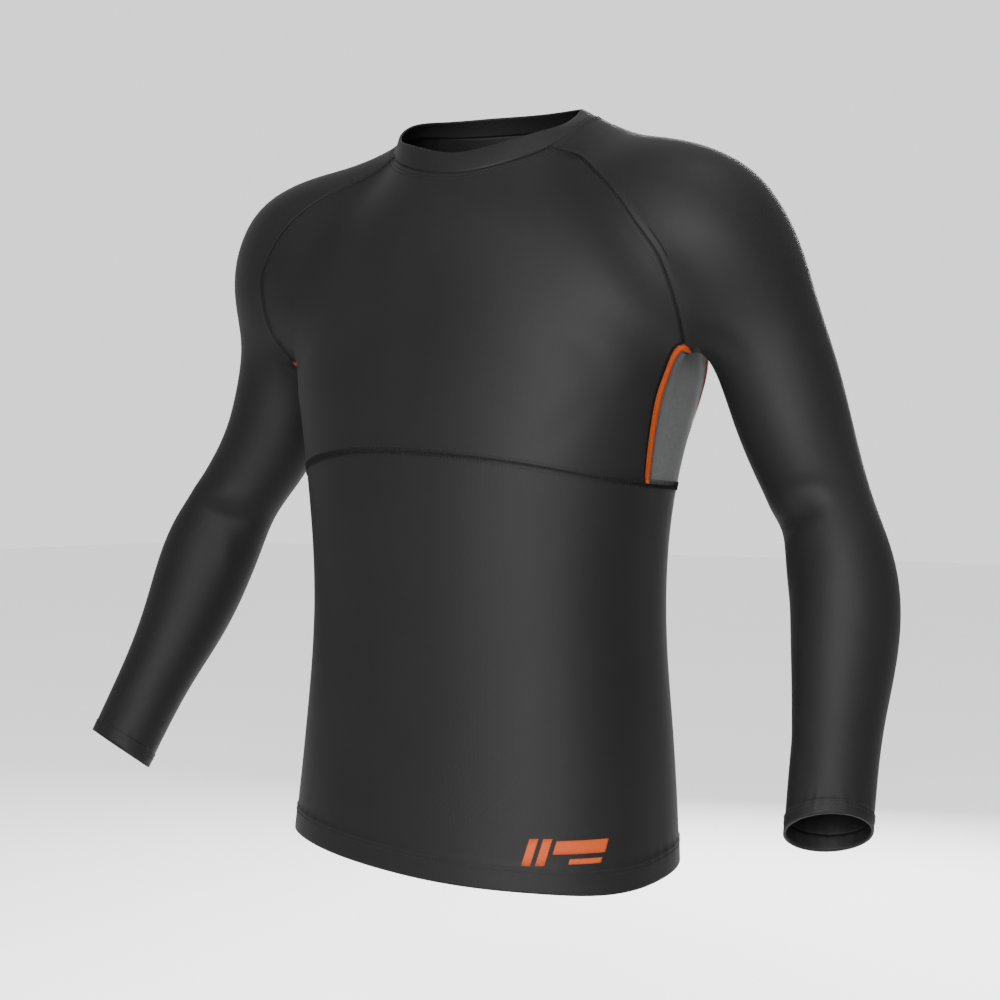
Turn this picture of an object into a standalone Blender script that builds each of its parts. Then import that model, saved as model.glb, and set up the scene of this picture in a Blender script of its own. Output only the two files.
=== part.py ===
# Long-sleeved compression shirt, worn shape with no wearer.
# Metres, +Z up, the wearer faces -Y and the wearer's left hand is on +X.
# The origin is the middle of the neck opening, on the upright line through the body.
import math

import bpy
import numpy as np

# Cloth sizes
WALL = 0.0013
TURNED_WALL = 0.0022
BAND_WALL = 0.0022
SEAM_GAP = 0.00036
HEM_DEPTH = 0.020
CUFF_DEPTH = 0.013
TURN_STEP = 0.0012
PIPING_WIDTH = 0.006
PIPING_PROUD = 0.0005
PIPING_EDGE_PROUD = 0.0001
BAND_BULGE = 0.0006

# Neck opening seen from above: half width, half depth and middle, at the seam and at the top edge
NECK_SEAM = (0.0910, 0.0815, -0.001)
NECK_EDGE = (0.0800, 0.0720, 0.000)
RAGLAN_FRONT_ANGLE = 65.0
RAGLAN_BACK_ANGLE = 117.0

# Mesh steps, shared by both sides of every seam
STEPS_CHEST = 22
STEPS_RAGLAN = 12
STEPS_NECK_SIDE = 4
STEPS_ARCH_SIDE = 11
STEPS_ARCH_TOP = 6
STEPS_PANEL_WIDE = 8
STEPS_LOWER = 10
STEPS_SHOULDER = 9
STEPS_ARM = 15
RINGS_RELAXED = 11
CROWDING = 1.05
RELAX_ROUNDS = 200
SLEEVE_ROUNDS = 24
SMOOTH_ROUNDS = 3
ARMHOLE_ROW = 0.007

# How softly the forms run into each other
BLEND_SHOULDER = 0.020
BLEND_ARMPIT = 0.005
ARMPIT_HEIGHT = -0.185
ARMPIT_MIDDLE = 0.028
ARMPIT_REACH = 0.012
BLEND_RISE = 0.070
BLEND_SPREAD = 0.040
BLEND_CHAIN = 0.010
TORSO_POWER = 2.3

# height, half width, depth to the front, depth to the back, middle y
TORSO = (
    (-0.660, 0.175, 0.134, 0.118, -0.012),
    (-0.600, 0.173, 0.131, 0.117, -0.008),
    (-0.540, 0.169, 0.126, 0.115, -0.005),
    (-0.480, 0.164, 0.122, 0.112, -0.003),
    (-0.420, 0.159, 0.121, 0.106, -0.001),
    (-0.360, 0.158, 0.121, 0.104, 0.000),
    (-0.300, 0.163, 0.121, 0.109, 0.000),
    (-0.240, 0.174, 0.122, 0.119, 0.003),
    (-0.190, 0.184, 0.123, 0.125, 0.008),
    (-0.140, 0.183, 0.117, 0.122, 0.010),
    (-0.090, 0.166, 0.108, 0.116, 0.012),
    (-0.050, 0.125, 0.096, 0.104, 0.012),
    (-0.020, 0.080, 0.076, 0.088, 0.012),
    (0.010, 0.052, 0.055, 0.072, 0.012),
    (0.040, 0.036, 0.042, 0.056, 0.012),
    (0.080, 0.020, 0.025, 0.036, 0.012),
)

# x, y, z, radius, half stretch along x, half stretch along y
ARM = (
    (0.050, 0.034, -0.012, 0.0340, 0.000, 0.000),
    (0.100, 0.020, -0.024, 0.0360, 0.000, 0.000),
    (0.148, 0.001, -0.056, 0.0500, 0.000, 0.000),
    (0.190, -0.002, -0.082, 0.0720, 0.000, 0.000),
    (0.221, 0.010, -0.106, 0.0600, 0.000, 0.000),
    (0.242, 0.025, -0.148, 0.0460, 0.000, 0.000),
    (0.254, 0.031, -0.182, 0.0450, 0.000, 0.000),
    (0.264, 0.032, -0.215, 0.0450, 0.000, 0.000),
    (0.276, 0.029, -0.246, 0.0420, 0.000, 0.000),
    (0.293, 0.019, -0.276, 0.0380, 0.002, -0.002),
    (0.309, 0.010, -0.303, 0.0355, 0.006, -0.006),
    (0.319, 0.006, -0.325, 0.0370, 0.009, -0.009),
    (0.327, 0.000, -0.350, 0.0400, 0.008, -0.007),
    (0.336, -0.018, -0.400, 0.0390, 0.003, -0.003),
    (0.344, -0.046, -0.450, 0.0320, 0.000, 0.000),
    (0.352, -0.074, -0.500, 0.0300, 0.002, 0.002),
    (0.359, -0.098, -0.545, 0.0290, 0.003, 0.002),
    (0.366, -0.122, -0.590, 0.0290, 0.003, 0.002),
)

NECK = (
    (0.000, 0.012, -0.090, 0.0560, 0.000, 0.000),
    (0.000, 0.008, 0.000, 0.0580, 0.000, 0.000),
    (0.000, 0.004, 0.060, 0.0580, 0.000, 0.000),
)

# x, y, z of the front raglan seam between its ends, and the same for the back one
RAGLAN_FRONT = (
    (0.1060, -0.0365, -0.0140),
    (0.1300, -0.0500, -0.0270),
    (0.1520, -0.0630, -0.0425),
    (0.1755, -0.0710, -0.0650),
    (0.1906, -0.0713, -0.0854),
    (0.1997, -0.0686, -0.0987),
    (0.2054, -0.0633, -0.1146),
    (0.2078, -0.0572, -0.1271),
    (0.2085, -0.0489, -0.1403),
    (0.2070, -0.0393, -0.1526),
)
RAGLAN_BACK = (
    (0.1060, 0.0575, 0.0040),
    (0.1280, 0.0610, -0.0180),
    (0.1480, 0.0665, -0.0430),
    (0.1680, 0.0730, -0.0700),
    (0.1830, 0.0750, -0.0940),
    (0.1910, 0.0725, -0.1180),
    (0.1925, 0.0655, -0.1370),
)

# x, y, z of the outer edge of the arched side panel, from its front foot over the armpit to its back foot
ARCH = (
    (0.1655, -0.0210, -0.2790),
    (0.1703, -0.0244, -0.2503),
    (0.1750, -0.0263, -0.2283),
    (0.1789, -0.0268, -0.2118),
    (0.1834, -0.0253, -0.1970),
    (0.1888, -0.0237, -0.1837),
    (0.1955, -0.0245, -0.1730),
    (0.2038, -0.0280, -0.1650),
    (0.2100, -0.0240, -0.1662),
    (0.2095, -0.0150, -0.1725),
    (0.2030, -0.0030, -0.1755),
    (0.1970, 0.0090, -0.1740),
    (0.1935, 0.0220, -0.1705),
    (0.1920, 0.0350, -0.1665),
    (0.1915, 0.0470, -0.1590),
    (0.1890, 0.0560, -0.1500),
    (0.1800, 0.0610, -0.1560),
    (0.1730, 0.0655, -0.1750),
    (0.1670, 0.0700, -0.1950),
    (0.1590, 0.0735, -0.2120),
    (0.1515, 0.0750, -0.2280),
    (0.1455, 0.0740, -0.2500),
    (0.1380, 0.0720, -0.2810),
)
ARCH_FRONT_JOIN = 7
ARCH_BACK_JOIN = 15

# angle from the front round to the wearer's left, height of the chest seam, height of the hem
LEVELS = (
    (-180.0, -0.2820, -0.580),
    (-150.0, -0.2820, -0.578),
    (-120.0, -0.2815, -0.576),
    (-83.0, -0.2790, -0.574),
    (-68.0, -0.2700, -0.575),
    (-53.0, -0.2615, -0.576),
    (-30.0, -0.2535, -0.581),
    (0.0, -0.2535, -0.588),
    (30.0, -0.2585, -0.593),
    (50.0, -0.2660, -0.596),
    (66.0, -0.2740, -0.599),
    (83.0, -0.2790, -0.597),
    (105.0, -0.2815, -0.590),
    (120.0, -0.2820, -0.587),
    (150.0, -0.2820, -0.583),
    (180.0, -0.2820, -0.580),
)

# angle from the front round to the wearer's left, height of the neck seam, height of the neck edge
NECK_LEVELS = (
    (-180.0, 0.0295, 0.0447),
    (-150.0, 0.0290, 0.0445),
    (-120.0, 0.0245, 0.0405),
    (-90.0, 0.0155, 0.0335),
    (-65.0, 0.0057, 0.0200),
    (-45.0, -0.0030, 0.0095),
    (-25.0, -0.0122, 0.0020),
    (-5.0, -0.0205, -0.0058),
    (12.0, -0.0245, -0.0093),
    (30.0, -0.0220, -0.0058),
    (50.0, -0.0133, 0.0022),
    (70.0, -0.0040, 0.0105),
    (90.0, 0.0050, 0.0200),
    (108.0, 0.0165, 0.0320),
    (127.0, 0.0265, 0.0385),
    (150.0, 0.0295, 0.0425),
    (180.0, 0.0295, 0.0447),
)

# Middle of the cuff edge and the way the cuff opens
CUFF_MIDDLE = (0.3565, -0.0985, -0.5205)
CUFF_OPENS = (0.260, -0.430, -0.864)
SHOULDER_RING_HEIGHT = -0.205
CUFF_LEAD = 0.060
ARM_OUTWARD = (1.0, 0.0, 0.3)

# Turns round the arm to the neck side and to the underarm, and how the points between are spaced
NECK_SIDE_TURN = 0.066
UNDERARM_TURN = 0.33
RAGLAN_TURN_POWER = 1.6

# Distance down the arm after which points are even, and how far round the arm the shoulder bows out
EVEN_AFTER = 0.160
BOW_SHARE = 0.5

# red, green, blue, roughness
BLACK_KNIT = (0.012, 0.012, 0.013, 0.62)
GREY_KNIT = (0.115, 0.118, 0.120, 0.80)
ORANGE_TAPE = (0.760, 0.130, 0.020, 0.60)


def natural_spline(knots, values, at):
    """Natural cubic spline through values at knots, read at the given places."""
    knots = np.asarray(knots, float)
    values = np.asarray(values, float).reshape(len(knots), -1)
    count = len(knots)
    gaps = np.diff(knots)
    matrix = np.eye(count)
    right = np.zeros(values.shape)
    for i in range(1, count - 1):
        matrix[i, i - 1] = gaps[i - 1]
        matrix[i, i] = 2 * (gaps[i - 1] + gaps[i])
        matrix[i, i + 1] = gaps[i]
        slope_after = (values[i + 1] - values[i]) / gaps[i]
        slope_before = (values[i] - values[i - 1]) / gaps[i - 1]
        right[i] = 6 * (slope_after - slope_before)
    bend = np.linalg.solve(matrix, right)
    i = np.clip(np.searchsorted(knots, at, side="right") - 1, 0, count - 2)
    gap = gaps[i][:, None]
    after = (np.asarray(at) - knots[i])[:, None]
    before = gap - after
    cubic = (bend[i] * before ** 3 + bend[i + 1] * after ** 3) / (6 * gap)
    start = (values[i] / gap - bend[i] * gap / 6) * before
    end = (values[i + 1] / gap - bend[i + 1] * gap / 6) * after
    return cubic + start + end


def chord_knots(points):
    steps = np.linalg.norm(np.diff(points, axis=0), axis=1)
    return np.concatenate([[0.0], np.cumsum(steps)])


def splined(rows, count):
    """Rows spaced evenly along the spline through the first three columns."""
    rows = np.asarray(rows, float)
    knots = chord_knots(rows[:, :3])
    return natural_spline(knots, rows, np.linspace(0, knots[-1], count))


def evenly(points, count):
    """Points respaced to count equal steps along their own line."""
    knots = chord_knots(points)
    return natural_spline(knots, points, np.linspace(0, knots[-1], count + 1))


class Chain:
    """A soft limb: balls of changing size strung along a spline."""

    def __init__(self, rows, count, side):
        line = splined(rows, count)
        stretch = np.column_stack([line[:, 4:6], np.zeros(count)])
        step = np.gradient(chord_knots(line[:, :3]))
        weight = np.log(step / np.sqrt(2 * math.pi * line[:, 3] * BLEND_CHAIN)) - math.log(2)
        self.middle = np.concatenate([line[:, :3] - stretch, line[:, :3] + stretch])
        self.radius = np.tile(line[:, 3], 2)
        self.weight = np.tile(weight, 2)
        self.side = side

    def field(self, points):
        value = np.full(len(points), 9.0)
        slope = np.zeros((len(points), 3))
        near = np.ones(len(points), bool)
        if self.side:
            near = points[:, 0] * self.side > -0.02
        use = points[near]
        away = use[:, None] - self.middle[None]
        distance = np.linalg.norm(away, axis=2) + 1e-9
        power = (self.radius - distance) / BLEND_CHAIN + self.weight
        top = power.max(1, keepdims=True)
        share = np.exp(power - top)
        total = share.sum(1)
        value[near] = -BLEND_CHAIN * (np.log(total) + top[:, 0])
        slope[near] = (away * (share / distance / total[:, None])[:, :, None]).sum(1)
        return value, slope


class Torso:
    """A soft upright tube whose oval section changes with height."""

    def __init__(self):
        rows = np.array(TORSO)
        self.height = np.linspace(rows[0, 0], rows[-1, 0], 400)
        self.sizes = natural_spline(rows[:, 0], rows[:, 1:], self.height)
        self.changes = np.gradient(self.sizes, self.height, axis=0)

    def field(self, points):
        x, y, z = points.T
        low, high = self.height[0], self.height[-1]
        level = np.clip(z, low, high)
        wide, front, back, middle = (np.interp(level, self.height, s) for s in self.sizes.T)
        inside = (z > low) & (z < high)
        d_wide, d_front, d_back, d_middle = (
            np.where(inside, np.interp(level, self.height, s), 0) for s in self.changes.T)
        y = y - middle
        deep = np.where(y < 0, front, back)
        d_deep = np.where(y < 0, d_front, d_back)
        n = TORSO_POWER
        part_x = np.abs(x / wide)
        part_y = np.abs(y / deep)
        total = part_x ** n + part_y ** n + 1e-12
        ratio = total ** (1 / n)
        scale = total ** (1 / n - 1)
        slope_x = scale * part_x ** (n - 1) * np.sign(x) / wide
        slope_y = scale * part_y ** (n - 1) * np.sign(y) / deep
        slope_z = -scale * (part_x ** n * d_wide / wide + part_y ** n * d_deep / deep) - slope_y * d_middle
        slope = np.column_stack([slope_x, slope_y, slope_z])
        length = np.linalg.norm(slope, axis=1) + 1e-9
        value = (ratio - 1) / length
        slope = slope / length[:, None]
        above = z > high
        value = np.where(above, np.maximum(value, 0) + z - high, value)
        slope[above] = (0.0, 0.0, 1.0)
        return value, slope


def mirrored_rows(rows):
    return [(-r[0], r[1], r[2], r[3], -r[4], r[5]) for r in rows]


FORMS = (Torso(), Chain(ARM, 70, 1), Chain(mirrored_rows(ARM), 70, -1), Chain(NECK, 16, 0))


def figure(points):
    """Signed distance, near enough, from the outside of the cloth, and its slope."""
    fields = [form.field(points) for form in FORMS]
    values = np.array([f[0] for f in fields])
    rise = (points[:, 2] - ARMPIT_HEIGHT) / BLEND_RISE
    spread = (np.abs(points[:, 1] - ARMPIT_MIDDLE) - ARMPIT_REACH) / BLEND_SPREAD
    open_up = np.clip(np.maximum(rise, spread), 0, 1)
    blend = BLEND_ARMPIT + (BLEND_SHOULDER - BLEND_ARMPIT) * open_up * open_up * (3 - 2 * open_up)
    power = -values / blend
    top = power.max(0)
    share = np.exp(power - top)
    total = share.sum(0)
    value = -blend * (np.log(total) + top)
    slope = sum((share[i] / total)[:, None] * fields[i][1] for i in range(len(fields)))
    return value, slope


def settled(points, rounds=8):
    """Points moved along the slope onto the cloth."""
    flat = np.array(points, float).reshape(-1, 3)
    for _ in range(rounds):
        value, slope = figure(flat)
        size = np.maximum((slope ** 2).sum(1), 0.05)
        flat = flat - np.clip(value, -0.02, 0.02)[:, None] * slope / size[:, None]
    return flat.reshape(np.shape(points))


def outward(points):
    flat = np.asarray(points).reshape(-1, 3)
    slope = figure(flat)[1]
    slope = slope / np.linalg.norm(slope, axis=1)[:, None]
    return slope.reshape(np.shape(points))


def reached(starts, directions, far=0.6, step=0.003):
    """First place where each line from its start crosses the cloth."""
    starts = np.asarray(starts, float)
    directions = directions / np.linalg.norm(directions, axis=1)[:, None]
    sign = np.sign(figure(starts)[0])
    before = np.zeros(len(starts))
    after = np.full(len(starts), far)
    found = np.zeros(len(starts), bool)
    walked = np.zeros(len(starts))
    while walked.max() < far and not found.all():
        walked = walked + step
        crossed = np.sign(figure(starts + directions * walked[:, None])[0]) != sign
        new = crossed & ~found
        before[new] = walked[new] - step
        after[new] = walked[new]
        found |= crossed
    for _ in range(18):
        half = (before + after) / 2
        same = np.sign(figure(starts + directions * half[:, None])[0]) == sign
        before = np.where(same, half, before)
        after = np.where(same, after, half)
    return starts + directions * before[:, None]


def patch(bottom, top, left, right):
    """Grid between four edge lines; bottom and top run the same way, left and right run upward."""
    u = chord_knots(bottom) / chord_knots(bottom)[-1] + chord_knots(top) / chord_knots(top)[-1]
    u = (u / 2)[None, :, None]
    v = chord_knots(left) / chord_knots(left)[-1] + chord_knots(right) / chord_knots(right)[-1]
    v = (v / 2)[:, None, None]
    across = (1 - v) * bottom[None] + v * top[None]
    along = (1 - u) * left[:, None] + u * right[:, None]
    lower = (1 - u) * bottom[0] + u * bottom[-1]
    upper = (1 - u) * top[0] + u * top[-1]
    return across + along - (1 - v) * lower - v * upper


def relaxed(grid, rounds=RELAX_ROUNDS, ring=False):
    """Inner points evened out on the cloth, edges kept."""
    grid = settled(grid)
    keep = grid.copy()
    for _ in range(rounds):
        if ring:
            beside = (np.roll(grid, 1, 1) + np.roll(grid, -1, 1))[1:-1]
            mean = (beside + grid[:-2] + grid[2:]) / 4
            grid[1:-1] = (grid[1:-1] + mean) / 2
        else:
            mean = (grid[:-2, 1:-1] + grid[2:, 1:-1] + grid[1:-1, :-2] + grid[1:-1, 2:]) / 4
            grid[1:-1, 1:-1] = (grid[1:-1, 1:-1] + mean) / 2
        grid = settled(grid, 2)
        grid[0], grid[-1] = keep[0], keep[-1]
        if not ring:
            grid[:, 0], grid[:, -1] = keep[:, 0], keep[:, -1]
    return grid


def beside(line, side, distance, rounds):
    """A line beside a closed line on the cloth, its direction evened out along the way."""
    way = np.cross(np.roll(line, -1, 0) - np.roll(line, 1, 0), outward(line)) * side
    way = way / np.linalg.norm(way, axis=1)[:, None]
    for _ in range(rounds):
        way = way / 2 + (np.roll(way, 1, 0) + np.roll(way, -1, 0)) / 4
        way = way / np.linalg.norm(way, axis=1)[:, None]
    return settled(line + way * distance)


def edge_shift(line, normal, towards, closed):
    """Half a seam gap along the cloth, square to the edge line."""
    if closed:
        run = np.roll(line, -1, 0) - np.roll(line, 1, 0)
    else:
        run = np.gradient(line, axis=0)
    side = np.cross(run, normal)
    side = side / np.linalg.norm(side, axis=1)[:, None]
    sign = np.sign((side * (towards - line)).sum(1))
    return side * sign[:, None] * SEAM_GAP / 2


def drawn_in(grid, normal, edges, ring=False):
    """Grid with the named edges moved half a seam gap off their seams."""
    out = grid.copy()
    if "bottom" in edges:
        out[0] += edge_shift(grid[0], normal[0], grid[1], ring)
    if "top" in edges:
        out[-1] += edge_shift(grid[-1], normal[-1], grid[-2], ring)
    if "left" in edges:
        out[:, 0] += edge_shift(grid[:, 0], normal[:, 0], grid[:, 1], False)
    if "right" in edges:
        out[:, -1] += edge_shift(grid[:, -1], normal[:, -1], grid[:, -2], False)
    return out


def grid_faces(rows, columns, ring):
    faces = []
    wide = columns if ring else columns - 1
    for r in range(rows - 1):
        for c in range(wide):
            d = (c + 1) % columns
            faces.append((r * columns + c, r * columns + d, (r + 1) * columns + d, (r + 1) * columns + c))
    return faces


def walled(outer, inner, ring=False):
    """Closed wall between an outer and an inner grid: vertices and faces."""
    rows, columns = outer.shape[:2]
    count = rows * columns
    vertices = np.concatenate([outer.reshape(-1, 3), inner.reshape(-1, 3)])
    front = grid_faces(rows, columns, ring)
    faces = front + [tuple(count + i for i in reversed(f)) for f in front]
    last = (rows - 1) * columns
    if ring:
        loops = [
            list(range(columns)) + [0],
            [last + c for c in reversed(range(columns))] + [last + columns - 1],
        ]
    else:
        lap = list(range(columns - 1))
        lap += [r * columns + columns - 1 for r in range(rows - 1)]
        lap += [last + c for c in range(columns - 1, 0, -1)]
        lap += [r * columns for r in range(rows - 1, 0, -1)]
        loops = [lap + [0]]
    for loop in loops:
        for a, b in zip(loop[:-1], loop[1:]):
            faces.append((b, a, a + count, b + count))
    return vertices, faces


def turned_out(vertices, faces):
    """Faces flipped together when they enclose a negative volume."""
    volume = 0.0
    for face in faces:
        a = vertices[face[0]]
        for i in range(1, len(face) - 1):
            volume += np.dot(a, np.cross(vertices[face[i]], vertices[face[i + 1]]))
    if volume < 0:
        return [tuple(reversed(f)) for f in faces]
    return faces


def knit(name, look):
    red, green, blue, rough = look
    material = bpy.data.materials.new(name)
    material.use_nodes = True
    shader = material.node_tree.nodes["Principled BSDF"]
    shader.inputs["Base Color"].default_value = (red, green, blue, 1.0)
    shader.inputs["Roughness"].default_value = rough
    shader.inputs["Metallic"].default_value = 0.0
    material.diffuse_color = (red, green, blue, 1.0)
    return material


def placed(name, vertices, faces, look):
    mesh = bpy.data.meshes.new(name)
    mesh.from_pydata([tuple(v) for v in vertices], [], turned_out(vertices, faces))
    mesh.polygons.foreach_set("use_smooth", [True] * len(mesh.polygons))
    mesh.materials.append(knit(name + "_cloth", look))
    mesh.update()
    thing = bpy.data.objects.new(name, mesh)
    bpy.context.scene.collection.objects.link(thing)
    return thing


def cloth(name, grid, look, edges, ring=False, wall=WALL):
    """One cut piece: a grid on the outside of the cloth given its wall and its seam gaps."""
    normal = outward(grid)
    outer = drawn_in(grid, normal, edges, ring)
    thick = np.broadcast_to(wall, grid.shape[:2])[:, :, None]
    vertices, faces = walled(outer, outer - normal * thick, ring)
    return placed(name, vertices, faces, look)


def mirrored(points):
    return np.asarray(points) * (-1, 1, 1)


def crowded(first, last, steps):
    """Values from first to last, closer together towards both ends."""
    share = np.sin(np.linspace(-CROWDING, CROWDING, steps + 1)) / math.sin(CROWDING)
    return first + (last - first) * (share + 1) / 2


def table_at(table, angles, column):
    """A column of an angle table, read at any angles."""
    rows = np.array(table)
    wrapped = (np.asarray(angles) + 180.0) % 360.0 - 180.0
    return natural_spline(rows[:, 0], rows[:, column], wrapped)[:, 0]


def oval(size, angles, heights):
    wide, deep, middle = size
    turn = np.radians(angles)
    return np.column_stack([wide * np.sin(turn), middle - deep * np.cos(turn), heights])


def neck_ring(angles, flip=1):
    """Neck seam at the given angles from the front; flip -1 gives the right side, mirrored."""
    heights = table_at(NECK_LEVELS, np.asarray(angles) * flip, 1)
    return settled(oval(NECK_SEAM, angles, heights))


def neck_edge(angles):
    """Top edge of the neck band at the given angles from the front."""
    return oval(NECK_EDGE, angles, table_at(NECK_LEVELS, angles, 2))


def body_points(angles, heights):
    """Places on the body of the shirt at the given angles and heights."""
    turn = np.radians(angles)
    directions = np.column_stack([np.sin(turn), -np.cos(turn), np.zeros(len(turn))])
    starts = directions * 0.05
    starts[:, 2] = heights
    return reached(starts, directions)


def seam_ring(angles, flip=1):
    """Seam below the chest; flip -1 gives the right side, mirrored."""
    return body_points(angles, table_at(LEVELS, np.asarray(angles) * flip, 1))


def angle_of(point):
    return math.degrees(math.atan2(point[0], -point[1]))


def raglan(rows, start, end):
    """Seam from the neck to the arch."""
    line = np.vstack([start, settled(rows), end])
    line = settled(evenly(line, STEPS_RAGLAN))
    line[0], line[-1] = start, end
    return line


def arch_lines(flip):
    """Outer and inner edges of the piping, split at the raglan joins."""
    rows = settled(np.array(ARCH))
    foot_angles = [angle_of(rows[0]), angle_of(rows[-1])]
    rows[0], rows[-1] = seam_ring(foot_angles, flip)
    knots = chord_knots(rows)
    places = []
    for first, last, steps in (
            (0, ARCH_FRONT_JOIN, STEPS_ARCH_SIDE),
            (ARCH_FRONT_JOIN, ARCH_BACK_JOIN, STEPS_ARCH_TOP),
            (ARCH_BACK_JOIN, len(rows) - 1, STEPS_ARCH_SIDE)):
        places += list(np.linspace(knots[first], knots[last], steps + 1))[bool(places):]
    outer = natural_spline(knots, rows, np.array(places))
    outer[1:-1] = settled(outer[1:-1])
    side = np.cross(np.gradient(outer, axis=0), outward(outer))
    side = side / np.linalg.norm(side, axis=1)[:, None]
    for _ in range(SMOOTH_ROUNDS):
        side[1:-1] = side[1:-1] / 2 + (side[:-2] + side[2:]) / 4
        side = side / np.linalg.norm(side, axis=1)[:, None]
    inner = outer + side * PIPING_WIDTH
    for _ in range(SMOOTH_ROUNDS - 1):
        inner[1:-1] = inner[1:-1] / 2 + (inner[:-2] + inner[2:]) / 4
    inner = settled(inner)
    turn = math.degrees(PIPING_WIDTH / np.linalg.norm(outer[0, :2]))
    inner[0], inner[-1] = seam_ring([foot_angles[0] + turn, foot_angles[1] - turn], flip)
    return outer, inner


def armhole_turns():
    """Where each armhole point sits round the arm at the top of the sleeve, in turns of 1."""
    lead = NECK_SIDE_TURN / 2
    down = np.linspace(0, 1, STEPS_RAGLAN + 1) ** RAGLAN_TURN_POWER
    front = lead + (UNDERARM_TURN - lead) * down
    under = np.linspace(UNDERARM_TURN, 1 - UNDERARM_TURN, STEPS_ARCH_TOP + 1)
    neck = np.linspace(1 - lead, 1 + lead, STEPS_NECK_SIDE + 1)
    return np.concatenate([front[:-1], under[:-1], (1 - front)[::-1][:-1], neck[:-1]])


def arm_rings(count):
    """Sleeve rings from the upper arm to the cuff; turns start outermost and go round by the front."""
    line = splined(ARM, 400)[:, :3]
    start = int(np.argmin(np.abs(line[:, 2] - SHOULDER_RING_HEIGHT)))
    stop = int(np.argmin(np.linalg.norm(line - CUFF_MIDDLE, axis=1)))
    total = chord_knots(line[start:stop + 1])
    length = total[-1]
    marks = list(np.linspace(0, length - CUFF_DEPTH - TURN_STEP, count)) + [length - CUFF_DEPTH, length]
    crowd = armhole_turns()
    even = (np.arange(len(crowd)) + STEPS_NECK_SIDE / 2) / len(crowd)
    rings = []
    for mark in marks:
        i = start + min(int(np.searchsorted(total, mark)), len(total) - 1)
        axis = line[min(i + 2, len(line) - 1)] - line[max(i - 2, 0)]
        axis = axis / np.linalg.norm(axis)
        near = max(0.0, 1 - (length - mark) / CUFF_LEAD)
        axis = axis * (1 - near) + np.array(CUFF_OPENS) * near
        axis = axis / np.linalg.norm(axis)
        out = np.array(ARM_OUTWARD)
        out = out - axis * out.dot(axis)
        out = out / np.linalg.norm(out)
        ahead = np.cross(out, axis)
        if ahead[1] > 0:
            ahead = -ahead
        share = min(1.0, mark / EVEN_AFTER)
        turn = (crowd * (1 - share) + even * share) * 2 * math.pi
        directions = np.cos(turn)[:, None] * out + np.sin(turn)[:, None] * ahead
        rings.append(reached(np.tile(line[i], (len(turn), 1)), directions))
    return np.array(rings)


class Side:
    """Seam lines and pieces of one side, held in the frame of the left side."""

    def __init__(self, flip):
        self.flip = flip
        self.outer, self.inner = arch_lines(flip)
        corner_front = neck_ring([RAGLAN_FRONT_ANGLE], flip)[0]
        corner_back = neck_ring([RAGLAN_BACK_ANGLE], flip)[0]
        join_back = STEPS_ARCH_SIDE + STEPS_ARCH_TOP
        self.seam_front = raglan(RAGLAN_FRONT, corner_front, self.outer[STEPS_ARCH_SIDE])
        self.seam_back = raglan(RAGLAN_BACK, corner_back, self.outer[join_back])
        self.front = np.vstack([self.outer[:STEPS_ARCH_SIDE], self.seam_front[::-1]])
        self.back = np.vstack([self.outer[:join_back:-1], self.seam_back[::-1]])

    def turned(self, points):
        return points * (self.flip, 1, 1)

    def panel(self, angles):
        """Arched panel inside the piping."""
        bottom = seam_ring(angles, self.flip)
        spare = (len(self.inner) - 1 - STEPS_PANEL_WIDE) // 2
        front_side = self.inner[:spare + 1]
        crown = self.inner[spare:spare + STEPS_PANEL_WIDE + 1]
        back_side = self.inner[:spare + STEPS_PANEL_WIDE - 1:-1]
        return relaxed(patch(bottom, crown, front_side, back_side))

    def strip(self):
        """Three lines of the piping and how far each stands proud."""
        strip = np.stack([self.inner + (self.outer - self.inner) * s for s in (0.0, 0.5, 1.0)])
        strip[1] = settled(strip[1])
        proud = outward(strip)
        proud[0] *= PIPING_EDGE_PROUD
        proud[1] *= PIPING_PROUD
        proud[2] *= PIPING_EDGE_PROUD
        return strip, proud

    def sleeve(self):
        """Sleeve from the armhole to the cuff, point 0 of each ring at the front neck corner."""
        neck_angles = np.linspace(RAGLAN_BACK_ANGLE, RAGLAN_FRONT_ANGLE, STEPS_NECK_SIDE + 1)
        neck_side = neck_ring(neck_angles, self.flip)
        arch_top = self.outer[STEPS_ARCH_SIDE:STEPS_ARCH_SIDE + STEPS_ARCH_TOP + 1]
        armhole = np.vstack([
            self.seam_front[:-1], arch_top[:-1], self.seam_back[::-1][:-1], neck_side[:-1]])
        rings = arm_rings(STEPS_ARM)
        first = beside(armhole, -1, ARMHOLE_ROW, SMOOTH_ROUNDS * 2)
        mid_a = first.mean(0)
        mid_b = rings[0].mean(0)
        arms_a = first - mid_a
        arms_b = rings[0] - mid_b
        reach_a = np.linalg.norm(arms_a, axis=1)[:, None]
        reach_b = np.linalg.norm(arms_b, axis=1)[:, None]
        over = np.clip(BOW_SHARE + np.cos(armhole_turns() * 2 * math.pi), 0, 1)[:, None]
        steps = []
        for share in np.linspace(0, 1, STEPS_SHOULDER)[:-1]:
            way = arms_a / reach_a * (1 - share) + arms_b / reach_b * share
            way = way / np.linalg.norm(way, axis=1)[:, None]
            middle = mid_a * (1 - share) + mid_b * share
            bowed = middle + way * (reach_a * (1 - share) + reach_b * share)
            straight = first * (1 - share) + rings[0] * share
            steps.append(straight + (bowed - straight) * over)
        upper = relaxed(np.array(steps + list(rings[:RINGS_RELAXED])), SLEEVE_ROUNDS, ring=True)
        return np.concatenate([armhole[None], upper[:-1], rings[RINGS_RELAXED - 1:]])


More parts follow.
